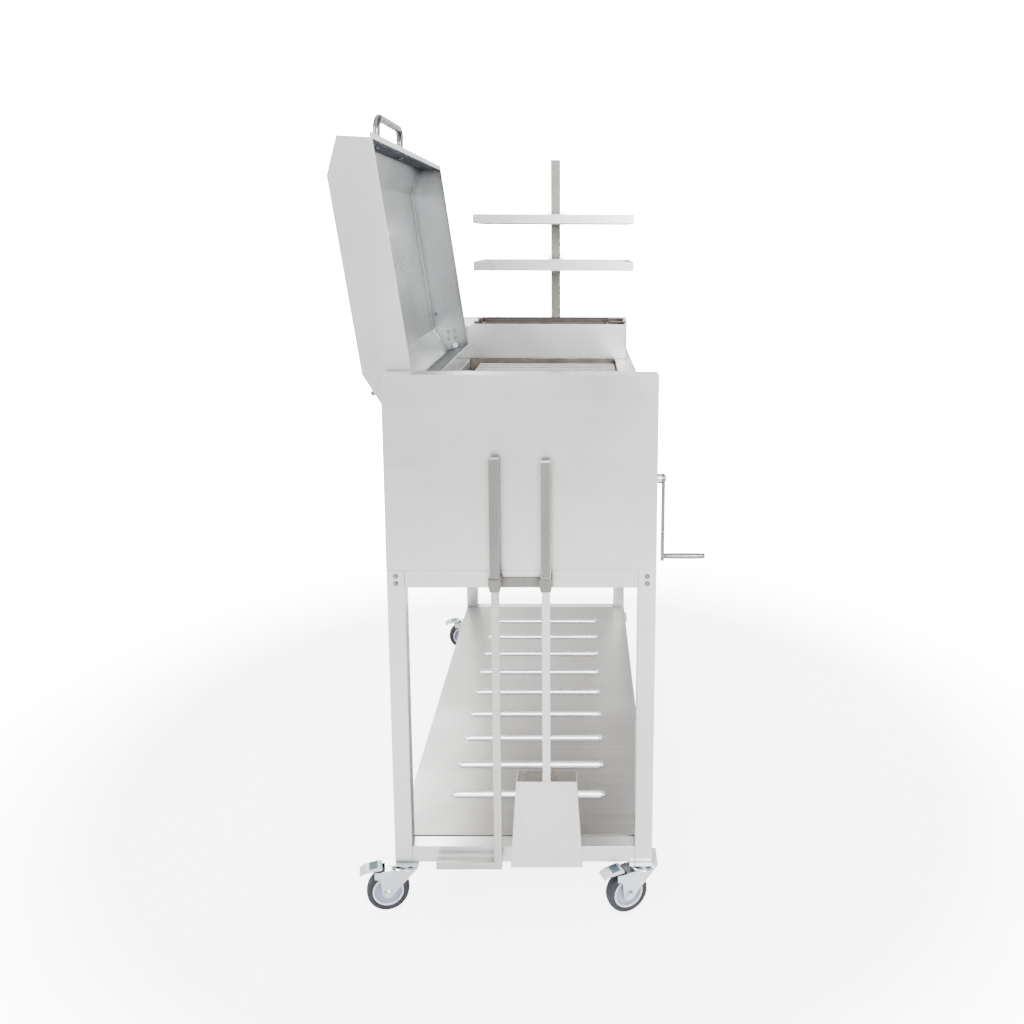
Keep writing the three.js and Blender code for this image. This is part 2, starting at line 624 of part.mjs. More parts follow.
function buildCrank() {
  const bossEnd = FRONT - CRANK_BOSS_REACH;
  const bossInner = FRONT + SHEET + CRANK_BOSS_INNER;
  const boreRadius = holeRadius(CRANK_SHAFT_RADIUS, AXLE_CLEARANCE);
  const bore = rod('y', boreRadius, bossEnd - 1, INNER_FRONT, CRANK_X, CRANK_Z);
  const bearing = joined([
    rod('y', CRANK_BOSS_RADIUS, bossEnd, bossInner, CRANK_X, CRANK_Z),
    rod('y', CRANK_FLANGE_RADIUS, FRONT - GAP - CRANK_FLANGE, FRONT - GAP, CRANK_X, CRANK_Z),
  ]).subtract(bore);
  place(cart, 'crank_bearing', 'steel', bearing);

  const armBack = bossEnd - GAP;
  const armFront = armBack - CRANK_ARM_THICK;
  const drumFront = bossInner + GAP;
  const drumRear = drumFront + DRUM_WIDTH;
  const gripZ = CRANK_Z - CRANK_ARM_LENGTH;
  const pinEnd = armFront - GAP - CRANK_GRIP_LENGTH;
  const crank = joined([
    rod('y', CRANK_SHAFT_RADIUS, armFront - CRANK_HUB_CAP, drumRear, CRANK_X, CRANK_Z),
    rod('y', DRUM_RADIUS, drumFront, drumRear, CRANK_X, CRANK_Z),
    rod('y', DRUM_FLANGE_RADIUS, drumFront, drumFront + DRUM_FLANGE, CRANK_X, CRANK_Z),
    rod('y', DRUM_FLANGE_RADIUS, drumRear - DRUM_FLANGE, drumRear, CRANK_X, CRANK_Z),
    box(CRANK_X - CRANK_ARM_WIDTH / 2, CRANK_X + CRANK_ARM_WIDTH / 2, armFront, armBack, gripZ, CRANK_Z),
    rod('y', CRANK_ARM_WIDTH / 2, armFront, armBack, CRANK_X, CRANK_Z),
    rod('y', CRANK_ARM_WIDTH / 2, armFront, armBack, CRANK_X, gripZ),
    rod('y', GRIP_PIN_RADIUS, pinEnd - GAP - WELD, armFront + WELD, CRANK_X, gripZ, PIN_SIDES),
    rod('y', CRANK_GRIP_RADIUS - 1, pinEnd - GAP - GRIP_PIN_CAP, pinEnd - GAP, CRANK_X, gripZ, PIN_SIDES),
  ]);
  place(cart, 'crank', 'steel', crank);

  const gripBore = holeRadius(GRIP_PIN_RADIUS, AXLE_CLEARANCE, PIN_SIDES);
  const grip = rod('y', CRANK_GRIP_RADIUS, pinEnd, armFront - GAP, CRANK_X, gripZ)
    .subtract(rod('y', gripBore, pinEnd - CUT, armFront, CRANK_X, gripZ, PIN_SIDES));
  place(cart, 'crank_grip', 'steel', grip);
}

// ---- Fire box: collar, hinge cheek and ember basket ----

function buildFireBox() {
  const bottom = WALL_TOP + GAP;
  const hem = FIREBOX_HEM;
  const collar = box(FIREBOX_START, FIREBOX_END, FIREBOX_FRONT, FIREBOX_REAR, bottom, FIREBOX_TOP)
    .subtract(box(FIREBOX_START + SHEET, FIREBOX_END - SHEET, FIREBOX_FRONT + SHEET, FIREBOX_REAR - SHEET,
      bottom - 1, FIREBOX_TOP + 1))
    .add(box(FIREBOX_START, FIREBOX_END, FIREBOX_FRONT, FIREBOX_REAR, FIREBOX_TOP - SHEET, FIREBOX_TOP)
      .subtract(box(FIREBOX_START + hem, FIREBOX_END - hem, FIREBOX_FRONT + hem, FIREBOX_REAR - hem,
        FIREBOX_TOP - SHEET - 1, FIREBOX_TOP + 1)));
  place(cart, 'firebox_collar', 'steel', collar);

  const x0 = FIREBOX_START;
  const x1 = INNER_END;
  const y0 = FIREBOX_REAR + GAP;
  const cheek = box(x0, x1, y0, REAR, bottom, CHEEK_TOP)
    .subtract(box(x0 + SHEET, x1 - SHEET, y0 + SHEET, REAR - SHEET, bottom - 1, CHEEK_TOP - SHEET))
    .subtract(rod('x', holeRadius(HINGE_PIN_RADIUS, GAP), x0 - 1, x0 + SHEET + 1, HINGE_Y, HINGE_Z));
  place(cart, 'hinge_cheek', 'steel', cheek);

  const a0 = FIREBOX_START + BASKET_INSET;
  const a1 = FIREBOX_END - BASKET_INSET;
  const b0 = INNER_FRONT + BASKET_INSET;
  const b1 = FIREBOX_REAR - BASKET_INSET;
  const top = FIREBOX_TOP - BASKET_RING_DROP;
  const bar = BASKET_BAR;
  const bottomTop = BASKET_BOTTOM + bar;
  const tie = (y) => box(a0 + 1, a1 - 1, y, y + bar, BASKET_BOTTOM + 1, bottomTop - 1);
  const pieces = [
    box(a0, a1, b0, b1, top - 2 * bar, top)
      .subtract(box(a0 + bar, a1 - bar, b0 + bar, b1 - bar, top - 2 * bar - CUT, top + CUT)),
    tie(b0 + BASKET_TIE_INSET),
    tie(b1 - BASKET_TIE_INSET - bar),
  ];
  const hanger = [
    [b0, top - bar], [b0, BASKET_BOTTOM], [b1, BASKET_BOTTOM], [b1, top - bar],
    [b1 - bar, top - bar], [b1 - bar, bottomTop], [b0 + bar, bottomTop], [b0 + bar, top - bar],
  ];
  for (let i = 0; i < BASKET_BAR_COUNT; i += 1) {
    const x = a0 + (i * (a1 - a0 - bar)) / (BASKET_BAR_COUNT - 1);
    pieces.push(prismX(hanger, x, x + bar));
  }
  const hookHalf = BASKET_HOOK_WIDTH / 2;
  const hookBottom = FIREBOX_TOP + GAP;
  for (const x of [a0 + (a1 - a0) / 4, a1 - (a1 - a0) / 4]) {
    const ends = [
      [b0, b0 + BASKET_HOOK_THICK, FIREBOX_FRONT],
      [b1, b1 - BASKET_HOOK_THICK, FIREBOX_REAR],
    ];
    for (const [inner, rim, outer] of ends) {
      const [y0s, y1s] = [Math.min(inner, rim), Math.max(inner, rim)];
      const [y0h, y1h] = [Math.min(outer, rim), Math.max(outer, rim)];
      pieces.push(box(x - hookHalf, x + hookHalf, y0s, y1s, top - bar, hookBottom + BASKET_HOOK_THICK));
      pieces.push(box(x - hookHalf, x + hookHalf, y0h, y1h, hookBottom, hookBottom + BASKET_HOOK_THICK));
    }
  }
  place(cart, 'ember_basket', 'fire_steel', joined(pieces));
}

// ---- Rack post and the two sliding racks ----

function buildRack(name, bottom) {
  const top = bottom + RACK_BAR;
  const wall = RACK_FRAME_WALL;
  const pieces = [
    box(RACK_START, RACK_END, RACK_FRONT, RACK_REAR, bottom, top)
      .subtract(box(RACK_START + wall, RACK_END - wall, RACK_FRONT + wall, RACK_REAR - wall,
        bottom - CUT, top + CUT)),
  ];
  for (let i = 1; i <= RACK_ROD_COUNT; i += 1) {
    const x = RACK_START + (i * (RACK_END - RACK_START)) / (RACK_ROD_COUNT + 1);
    pieces.push(rod('y', RACK_ROD / 2, RACK_FRONT + 1, RACK_REAR - 1, x, bottom + RACK_BAR / 2, 8));
  }

  // The collar is welded to the end of the rack and slides on the post.
  const half = POST_SIZE / 2 + COLLAR_CLEARANCE;
  const outer = half + COLLAR_WALL;
  const tabX = POST_X - outer;
  const tab = (y) => (
    box(tabX, tabX + COLLAR_TAB, y, y + COLLAR_TAB, top - WELD, top + COLLAR_TAB_RISE));
  pieces.push(
    box(RACK_END - WELD, POST_X + outer, POST_Y - outer, POST_Y + outer, bottom, top),
    tab(POST_Y - outer),
    tab(POST_Y + outer - COLLAR_TAB),
  );
  const postHole = box(POST_X - half, POST_X + half, POST_Y - half, POST_Y + half, bottom - CUT, top + CUT);
  place(cart, `${name}_rack`, 'steel', joined(pieces).subtract(postHole));
}

function buildRacks() {
  const half = POST_SIZE / 2;
  const post = box(POST_X - half, POST_X + half, POST_Y - half, POST_Y + half, POST_FOOT, POST_TOP)
    .subtract(box(POST_X - half + TUBE_WALL, POST_X + half - TUBE_WALL, POST_Y - half + TUBE_WALL,
      POST_Y + half - TUBE_WALL, POST_FOOT - 1, POST_TOP - TUBE_WALL));
  place(cart, 'rack_post', 'tool_steel', post);
  buildRack('upper', UPPER_RACK_BOTTOM);
  buildRack('lower', LOWER_RACK_BOTTOM);
}

// ---- Ash tools and their holder ----

function toolHandle(y, bottom, top) {
  const sleeveBottom = HOLDER_BOTTOM + HOLDER_HEIGHT + GAP;
  const bar = (thick, width, z0, z1) => (
    box(TOOL_X - thick / 2, TOOL_X + thick / 2, y - width / 2, y + width / 2, z0, z1));
  return joined([
    bar(SHAFT_THICK, SHAFT_WIDTH, bottom, top - WELD),
    bar(SLEEVE_THICK, SLEEVE_WIDTH, sleeveBottom, top),
  ]);
}

function buildTools() {
  const bladeFront = TOOL_X - SHAFT_THICK / 2;
  const bladeTop = RAKE_BOTTOM + RAKE_BLADE_HEIGHT;
  const bladeStart = RAKE_Y - SHAFT_WIDTH / 2;
  const bladeEnd = bladeStart + RAKE_REACH;
  const rake = joined([
    toolHandle(RAKE_Y, RAKE_BOTTOM, RAKE_TOP),
    box(bladeFront, bladeFront + RAKE_SHEET, bladeStart, bladeEnd, RAKE_BOTTOM, bladeTop),
    box(bladeFront, bladeFront + RAKE_BLADE_DEPTH, bladeStart, bladeEnd, bladeTop - RAKE_SHEET, bladeTop),
  ]);
  place(cart, 'ash_rake', 'tool_steel', rake);

  // The pan is a wedge: an outline across its width, and a taper in its depth.
  const panFront = TOOL_X - SHAFT_THICK / 2 - SHEET;
  const wide = SHOVEL_LIP_WIDTH / 2;
  const narrow = SHOVEL_TOP_WIDTH / 2;
  const outline = [
    [SHOVEL_Y - wide, SHOVEL_BOTTOM], [SHOVEL_Y + wide, SHOVEL_BOTTOM],
    [SHOVEL_Y + narrow, SHOVEL_PAN_TOP], [SHOVEL_Y - narrow, SHOVEL_PAN_TOP],
  ];
  const taper = prismY([
    [panFront, SHOVEL_BOTTOM], [panFront + SHOVEL_LIP_DEPTH, SHOVEL_BOTTOM],
    [panFront + SHOVEL_DEPTH, SHOVEL_PAN_TOP], [panFront, SHOVEL_PAN_TOP],
  ], SHOVEL_Y - wide - 1, SHOVEL_Y + wide + 1);
  const hollow = insetOutline(outline, [-20, SHEET, SHEET, SHEET]);
  const pan = prismX(outline, panFront, panFront + SHOVEL_DEPTH).intersect(taper)
    .subtract(prismX(hollow, panFront + SHEET, panFront + SHOVEL_DEPTH + 1));
  place(cart, 'ash_shovel', 'tool_steel',
    pan.add(toolHandle(SHOVEL_Y, SHOVEL_PAN_TOP - SHEET, SHOVEL_TOP)));

  const inner = SHAFT_WIDTH / 2 + 1;
  const outer = inner + HOLDER_WALL;
  const foot = inner + HOLDER_WALL / 3;
  const holderTop = HOLDER_BOTTOM + HOLDER_HEIGHT;
  const frontX = TOOL_X - SHAFT_THICK / 2 - 1 - HOLDER_WALL;
  const stripFront = -GAP - HOLDER_STRIP;
  const pieces = [
    box(stripFront, -GAP, SHOVEL_Y - outer, RAKE_Y + outer, HOLDER_BOTTOM, holderTop - HOLDER_STRIP_DROP),
  ];
  for (const y of [SHOVEL_Y, RAKE_Y]) {
    const funnel = [
      [y - foot, HOLDER_BOTTOM], [y + foot, HOLDER_BOTTOM], [y + outer, holderTop - HOLDER_RIM],
      [y + outer, holderTop], [y - outer, holderTop], [y - outer, holderTop - HOLDER_RIM],
    ];
    pieces.push(prismX(funnel, frontX, stripFront + 1));
  }
  let holder = joined(pieces);
  for (const y of [SHOVEL_Y, RAKE_Y]) {
    holder = holder.subtract(box(TOOL_X - SHAFT_THICK / 2 - 1, TOOL_X + SHAFT_THICK / 2 + 1,
      y - inner, y + inner, HOLDER_BOTTOM - 1, holderTop + 1));
  }
  place(cart, 'tool_holder', 'tool_steel', holder);
}

// ---- Casters, built with the wheel trailing along +X and turned to their heading ----

function buildCaster(label, x, y, headingDeg) {
  const caster = new THREE.Group();
  caster.position.set(x, y, 0);
  cart.add(caster);

  const plateTop = CASTER_HEIGHT - GAP;
  const plateBottom = plateTop - CASTER_PLATE_THICK;
  const half = CASTER_PLATE / 2;
  const raceBottom = FORK_CROWN_TOP + GAP;
  const plate = joined([
    box(-half, half, -half, half, plateBottom, plateTop),
    rod('z', RACE_RADIUS, raceBottom, plateBottom + 1, 0, 0),
  ]);
  place(caster, `caster_${label}_plate`, 'zinc', plate);

  const turned = new THREE.Group();
  turned.rotation.z = THREE.MathUtils.degToRad(headingDeg);
  caster.add(turned);

  const gapHalf = WHEEL_WIDTH / 2 + FORK_SIDE_GAP;
  const forkHalf = gapHalf + FORK_PLATE;
  const crownRadius = RACE_RADIUS + CROWN_LIP;
  const tip = [];
  for (let i = 0; i <= FORK_TIP_STEPS; i += 1) {
    const angle = Math.PI * (FORK_TIP_START + (i * FORK_TIP_SWEEP) / FORK_TIP_STEPS);
    tip.push([TRAIL + FORK_TIP_RADIUS * Math.cos(angle), WHEEL_RADIUS + FORK_TIP_RADIUS * Math.sin(angle)]);
  }
  const cheekOutline = [
    [-crownRadius, FORK_CROWN_UNDER],
    ...tip,
    [TRAIL + FORK_KNEE, FORK_KNEE_Z],
    [TRAIL + FORK_NOSE, FORK_NOSE_Z],
    [TRAIL + FORK_NOSE, FORK_CROWN_UNDER],
  ];
  const fork = joined([
    prismY(cheekOutline, -forkHalf, -gapHalf),
    prismY(cheekOutline, gapHalf, forkHalf),
    box(-crownRadius, TRAIL + FORK_BRIDGE, -forkHalf, forkHalf, FORK_CROWN_UNDER - 1, FORK_CROWN_UNDER + 2),
    rod('z', crownRadius, FORK_CROWN_UNDER, FORK_CROWN_TOP, 0, 0),
    rod('y', AXLE_RADIUS, -forkHalf - AXLE_END, forkHalf + AXLE_END, TRAIL, WHEEL_RADIUS, PIN_SIDES),
  ]);
  place(turned, `caster_${label}_fork`, 'zinc', fork);

  const wheel = new THREE.Group();
  wheel.position.set(TRAIL, 0, WHEEL_RADIUS);
  turned.add(wheel);
  const w = WHEEL_WIDTH / 2;
  const seat = holeRadius(RIM_RADIUS, GAP, TYRE_SIDES);
  const tyre = turnedY([
    [seat, -w + 3], [RIM_RADIUS + 3, -w], [WHEEL_RADIUS - 6, -w], [WHEEL_RADIUS - 1.5, -w + 5],
    [WHEEL_RADIUS, -w + 11], [WHEEL_RADIUS, w - 11], [WHEEL_RADIUS - 1.5, w - 5], [WHEEL_RADIUS - 6, w],
    [RIM_RADIUS + 3, w], [seat, w - 3], [seat, -w + 3],
  ], TYRE_SIDES);
  place(wheel, `caster_${label}_tyre`, 'rubber', tyre);
  const r = RIM_WIDTH / 2;
  const bore = holeRadius(AXLE_RADIUS, AXLE_CLEARANCE, PIN_SIDES);
  const web = r - RIM_DISH;
  const rim = turnedY([
    [bore, -r], [RIM_HUB, -r], [RIM_HUB_FOOT, -web], [RIM_RADIUS - 5, -web], [RIM_RADIUS - 2, -r + 1],
    [RIM_RADIUS, -r + 2], [RIM_RADIUS, r - 2], [RIM_RADIUS - 2, r - 1], [RIM_RADIUS - 5, web],
    [RIM_HUB_FOOT, web], [RIM_HUB, r], [bore, r], [bore, -r],
  ], PIN_SIDES);
  place(wheel, `caster_${label}_rim`, 'wheel_plastic', rim);

  const start = TRAIL + PEDAL_START;
  const pedalHalf = PEDAL_WIDTH / 2 - 1;
  const pedalOutline = [
    [start, 112], [start, 106], [start + PEDAL_LENGTH - 14, 104], [start + PEDAL_LENGTH, 98],
    [start + PEDAL_LENGTH + 3, 103], [start + PEDAL_LENGTH - 12, 111], [start + 8, 115],
  ];
  place(turned, `caster_${label}_pedal`, 'pedal_plastic', prismY(pedalOutline, -pedalHalf, pedalHalf));
}

function buildCasters() {
  const inset = TUBE / 2;
  const places = {
    left_front: [inset, FRONT + inset, FRONT_HEADING_DEG],
    left_rear: [inset, REAR - inset, REAR_HEADING_DEG],
    right_front: [CART_LENGTH - inset, FRONT + inset, FRONT_HEADING_DEG],
    right_rear: [CART_LENGTH - inset, REAR - inset, REAR_HEADING_DEG],
  };
  for (const [label, [x, y, heading]] of Object.entries(places)) buildCaster(label, x, y, heading);
}

buildFrame();
buildShelf();
buildCabinet();
buildHood();
buildGrate();
buildCrank();
buildFireBox();
buildRacks();
buildTools();
buildCasters();

// The origin is the middle of the floor area that the whole cart covers.
const root = new THREE.Group();
root.add(cart);
const bounds = new THREE.Box3().setFromObject(root, true);
cart.position.set(-(bounds.min.x + bounds.max.x) / 2, -(bounds.min.y + bounds.max.y) / 2, -bounds.min.z);

export default root;
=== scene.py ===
"""The looks of a stainless charcoal grill cart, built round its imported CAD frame."""

import json
import logging
import math
from collections.abc import Iterable
from dataclasses import dataclass, field
from enum import Enum

import bmesh
import bpy
from mathutils import Matrix, Vector

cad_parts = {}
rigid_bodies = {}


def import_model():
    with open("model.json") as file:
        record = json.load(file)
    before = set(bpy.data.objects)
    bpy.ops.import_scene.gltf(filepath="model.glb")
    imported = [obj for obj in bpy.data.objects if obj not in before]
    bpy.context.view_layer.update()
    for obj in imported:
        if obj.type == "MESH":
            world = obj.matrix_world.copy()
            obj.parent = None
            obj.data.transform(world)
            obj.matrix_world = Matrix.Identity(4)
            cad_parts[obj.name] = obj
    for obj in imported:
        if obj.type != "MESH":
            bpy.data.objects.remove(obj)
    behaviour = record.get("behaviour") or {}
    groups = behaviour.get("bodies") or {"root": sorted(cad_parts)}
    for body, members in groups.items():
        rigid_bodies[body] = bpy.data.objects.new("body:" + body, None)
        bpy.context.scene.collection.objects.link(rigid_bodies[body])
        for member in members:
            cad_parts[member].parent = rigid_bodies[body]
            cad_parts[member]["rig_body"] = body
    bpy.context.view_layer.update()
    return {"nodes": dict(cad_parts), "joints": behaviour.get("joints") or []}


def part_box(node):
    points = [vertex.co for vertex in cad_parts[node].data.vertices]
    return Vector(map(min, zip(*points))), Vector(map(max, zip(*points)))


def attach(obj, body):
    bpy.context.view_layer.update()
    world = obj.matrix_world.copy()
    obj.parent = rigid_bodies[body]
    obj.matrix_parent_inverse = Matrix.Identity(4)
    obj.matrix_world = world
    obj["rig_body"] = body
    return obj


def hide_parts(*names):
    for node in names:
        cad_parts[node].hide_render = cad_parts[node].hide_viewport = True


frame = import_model()

logging.basicConfig(level=logging.INFO, format="%(name)s: %(message)s")
log = logging.getLogger("grill_cart")

MM = 0.001
MERGE_DISTANCE = 1e-6
FLAT_ANGLE = math.radians(1)
FOLD_ANGLE = math.radians(20)
SMOOTH_ANGLE = math.radians(38)
FACE_AREA_WEIGHT = 100
WELD_SIDES = 10
BOLT_SIDES = 28
HEXAGON_SIDES = 6
WASHER_HEIGHT = 0.25
WASHER_REACH = 1.3
DOME_CROWN = 0.72
UP = Vector((0, 0, 1))
ENDS = ("left", "right")
SIDES = ("front", "rear")
CORNERS = ("left_front", "left_rear", "right_front", "right_rear")

Colour = tuple[float, float, float]


class Grain(Enum):
    """The way the brushing of a steel sheet runs, as the stretch of its noise."""

    ALONG_X = (3.0, 420.0, 420.0)
    ALONG_Y = (420.0, 3.0, 420.0)
    ALONG_Z = (420.0, 420.0, 3.0)
    NONE = (60.0, 60.0, 60.0)


# ---- Shader nodes ----


def add_node(
        tree: bpy.types.NodeTree, kind: str, values: dict[str, object] | None = None,
        **settings: object) -> bpy.types.Node:
    """Adds a node with its settings, and then the values of its inputs.

    Args:
        tree: The node tree.
        kind: The node's type after ShaderNode, such as Mix.
        values: Input values by socket name.
        **settings: The node's own settings, such as its operation.

    Returns:
        The new node.
    """
    made = tree.nodes.new(f"ShaderNode{kind}")
    for name, value in settings.items():
        setattr(made, name, value)
    for name, value in (values or {}).items():
        made.inputs[name].default_value = value
    return made


def wire(tree: bpy.types.NodeTree, *pairs: tuple[bpy.types.NodeSocket, bpy.types.NodeSocket]) -> None:
    """Joins each pair of an output and an input."""
    for source, target in pairs:
        tree.links.new(source, target)


def new_group(
        name: str, inputs: dict[str, object],
        outputs: tuple[str, ...]) -> tuple[bpy.types.NodeTree, bpy.types.Node, bpy.types.Node]:
    """Starts a shader group with its sockets.

    Args:
        name: The group's name.
        inputs: Default values by input name: a number, or three for a vector.
        outputs: The names of its outputs, all of them numbers.

    Returns:
        The group, its entry node and its exit node.
    """
    group = bpy.data.node_groups.new(name, "ShaderNodeTree")
    for label, value in inputs.items():
        kind = "NodeSocketFloat" if isinstance(value, float) else "NodeSocketVector"
        group.interface.new_socket(label, in_out="INPUT", socket_type=kind).default_value = value
    for label in outputs:
        group.interface.new_socket(label, in_out="OUTPUT", socket_type="NodeSocketFloat")
    return group, group.nodes.new("NodeGroupInput"), group.nodes.new("NodeGroupOutput")


class ShaderGroups:
    """The node groups that all finishes share, each built once."""

    def __init__(self) -> None:
        """Builds the groups."""
        self.grain = self._grain()
        self.marks_and_sheen = self._marks_and_sheen()
        self.crease = self._crease()

    def _grain(self) -> bpy.types.NodeTree:
        """Builds the brushed grain: a stretched noise that gives a height and a streak mask.

        Returns:
            The node group.
        """
        group, entry, leave = new_group(
            "brushed_grain", {"Stretch": Grain.ALONG_X.value}, ("Height", "Streak"))
        place = add_node(group, "TexCoord")
        stretch = add_node(group, "VectorMath", operation="MULTIPLY")
        fine = add_node(group, "TexNoise", {"Scale": 3.0, "Detail": 3.0})
        broad = add_node(group, "TexNoise", {"Scale": 0.35, "Detail": 2.0})
        wire(
            group,
            (place.outputs["Object"], stretch.inputs[0]), (entry.outputs["Stretch"], stretch.inputs[1]),
            (stretch.outputs[0], fine.inputs["Vector"]), (stretch.outputs[0], broad.inputs["Vector"]),
            (fine.outputs["Fac"], leave.inputs["Height"]), (broad.outputs["Fac"], leave.inputs["Streak"]))
        return group

    def _marks_and_sheen(self) -> bpy.types.NodeTree:
        """Builds a wide, cloudy value between a low and a high one: soft handling marks in the roughness, and
        painted sheen clouds in the base colour.

        Returns:
            The node group.
        """
        group, entry, leave = new_group("handling_marks_and_sheen", {"Scale": 4.0, "Low": 0.28, "High": 0.4}, ("Value",))
        place = add_node(group, "TexCoord")
        cloud = add_node(group, "TexNoise", {"Detail": 4.0})
        spread = add_node(group, "MapRange", {"From Min": 0.3, "From Max": 0.7})
        wire(
            group,
            (place.outputs["Object"], cloud.inputs["Vector"]), (entry.outputs["Scale"], cloud.inputs["Scale"]),
            (cloud.outputs["Fac"], spread.inputs["Value"]), (entry.outputs["Low"], spread.inputs["To Min"]),
            (entry.outputs["High"], spread.inputs["To Max"]), (spread.outputs["Result"], leave.inputs["Value"]))
        return group

    def _crease(self) -> bpy.types.NodeTree:
        """Builds the painted shade in folds and joints: an ambient-occlusion mask that is low in a crease.

        Returns:
            The node group.
        """
        group, entry, leave = new_group("painted_crease_shade", {"Reach": 0.03}, ("Open",))
        hidden = add_node(group, "AmbientOcclusion", samples=8)
        soften = add_node(group, "MapRange", {"From Min": 0.15, "From Max": 0.85})
        wire(
            group,
            (entry.outputs["Reach"], hidden.inputs["Distance"]), (hidden.outputs["AO"], soften.inputs["Value"]),
            (soften.outputs["Result"], leave.inputs["Open"]))
        return group


GROUPS = ShaderGroups()
BUMP_STRENGTH = 0.5
# Scale and darkness of the painted sheen: wide clouds that darken the base colour in place of uneven reflections.
SHEEN_DRIFT_SCALE = 1.9
SHEEN_DRIFT_SHADE = 0.78


def opaque(colour: Colour, share: float = 1.0) -> tuple[float, ...]:
    """Gives a colour as four numbers, darkened to a share of itself."""
    return (*(part * share for part in colour), 1.0)


@dataclass(frozen=True)
class Finish:
    """One finish of the cart.

    Attributes:
        name: The material's name.
        slot: The record's material slot; not used.
        light: Base colour away from the streaks, the painted sheen and the painted crease shade.
        dark: Base colour in the grain's streaks, and the base of the painted sheen clouds and the painted crease
            shade.
        rough: Lowest and highest roughness.
        metallic: 1 for metal, 0 for the rest.
        grain: Which way the brushing runs.
        bump: Depth of the grain's bump in millimetres.
        marks: Scale of the handling marks.
        coat: Weight of a clear top coat.
        sheen_drift: How far the colour darkens in wide clouds of painted sheen, which stand in for the steel's
            uneven reflections.
        crease_shade: How dark the painted shade in the creases is, from 0 to 1.
    """

    name: str
    slot: str
    light: Colour
    dark: Colour
    rough: tuple[float, float]
    metallic: float = 1.0
    grain: Grain = Grain.ALONG_X
    bump: float = 0.02
    marks: float = 4.0
    coat: float = 0.0
    sheen_drift: float = 0.7
    crease_shade: float = 0.6

    def material(self) -> bpy.types.Material:
        """Gives the material, building it on first use."""
        return bpy.data.materials.get(self.name) or self._build()

    def _build(self) -> bpy.types.Material:
        """Builds the material's nodes.

        Returns:
            The new material.
        """
        made = bpy.data.materials.new(self.name)
        made.use_nodes = True
        tree = made.node_tree
        shader = tree.nodes["Principled BSDF"]
        shader.inputs["Metallic"].default_value = self.metallic
        shader.inputs["Coat Weight"].default_value = self.coat
        low, high = self.rough
        grain = add_node(tree, "Group", {"Stretch": self.grain.value}, node_tree=GROUPS.grain)
        marks = add_node(
            tree, "Group", {"Scale": self.marks, "Low": low, "High": high}, node_tree=GROUPS.marks_and_sheen)
        # Painted sheen: wide noise clouds darken the base colour, standing in for uneven reflections on the steel.
        cloud = add_node(
            tree, "Group", {"Scale": SHEEN_DRIFT_SCALE, "Low": 0.0, "High": self.sheen_drift}, node_tree=GROUPS.marks_and_sheen)
        # Painted shade: an ambient-occlusion mask darkens the base colour in creases and joints.
        crease = add_node(tree, "Group", node_tree=GROUPS.crease)
        bump = add_node(tree, "Bump", {"Distance": self.bump * MM, "Strength": BUMP_STRENGTH})
        tint = add_node(tree, "Mix", {"A": opaque(self.light), "B": opaque(self.dark)}, data_type="RGBA")
        # The painted sheen clouds go over the grain tint, and the next mix lays the painted crease shade over
        # both.
        wide = add_node(tree, "Mix", {"B": opaque(self.dark, SHEEN_DRIFT_SHADE)}, data_type="RGBA")
        shade = add_node(tree, "Mix", {"A": opaque(self.dark, 1.0 - self.crease_shade)}, data_type="RGBA")
        wire(
            tree,
            (grain.outputs["Streak"], tint.inputs["Factor"]), (cloud.outputs["Value"], wide.inputs["Factor"]),
            (tint.outputs["Result"], wide.inputs["A"]), (crease.outputs["Open"], shade.inputs["Factor"]),
            (wide.outputs["Result"], shade.inputs["B"]), (shade.outputs["Result"], shader.inputs["Base Color"]),
            (marks.outputs["Value"], shader.inputs["Roughness"]), (grain.outputs["Height"], bump.inputs["Height"]),
            (bump.outputs["Normal"], shader.inputs["Normal"]))
        return made


# In the finishes below, the crease setting sets how dark the painted shade in their creases is.
STEEL_LIGHT = (0.90, 0.90, 0.89)
STEEL_DARK = (0.74, 0.74, 0.73)
STEEL_X = Finish("brushed_stainless_x", "stainless", STEEL_LIGHT, STEEL_DARK, (0.24, 0.36))
STEEL_Y = Finish(
    "brushed_stainless_y", "stainless", STEEL_LIGHT, STEEL_DARK, (0.24, 0.36), grain=Grain.ALONG_Y)
STEEL_Z = Finish(
    "brushed_stainless_z", "stainless", STEEL_LIGHT, STEEL_DARK, (0.22, 0.34), grain=Grain.ALONG_Z)
HOOD_STEEL = Finish(
    "hood_sheet", "stainless", (0.90, 0.90, 0.90), (0.76, 0.77, 0.77), (0.24, 0.36),
    grain=Grain.ALONG_Z, crease_shade=0.75)
HOOD_INSIDE = Finish(
    "hood_inside_sheet", "stainless", (0.40, 0.41, 0.42), (0.27, 0.28, 0.285), (0.26, 0.4), crease_shade=0.75)
COLLAR_INSIDE = Finish(
    "smoked_sheet", "stainless", (0.24, 0.22, 0.205), (0.13, 0.12, 0.11), (0.35, 0.55),
    grain=Grain.ALONG_Z, marks=9.0)
SHELF_STEEL = Finish(
    "shelf_sheet", "stainless", (0.40, 0.392, 0.378), (0.31, 0.303, 0.29), (0.3, 0.42),
    grain=Grain.ALONG_Y, crease_shade=0.7)
BOLT_STEEL = Finish(
    "bolt_steel", "stainless", (0.40, 0.40, 0.39), (0.22, 0.22, 0.22), (0.2, 0.34),
    grain=Grain.NONE, marks=40.0)
CRANK_STEEL = Finish(
    "turned_steel", "stainless", (0.36, 0.355, 0.345), (0.2, 0.195, 0.19), (0.2, 0.36),
    grain=Grain.ALONG_Z, marks=20.0)
WELD = Finish(
    "weld_bead", "stainless", (0.86, 0.86, 0.85), (0.6, 0.58, 0.55), (0.18, 0.4), grain=Grain.NONE, bump=0.3)
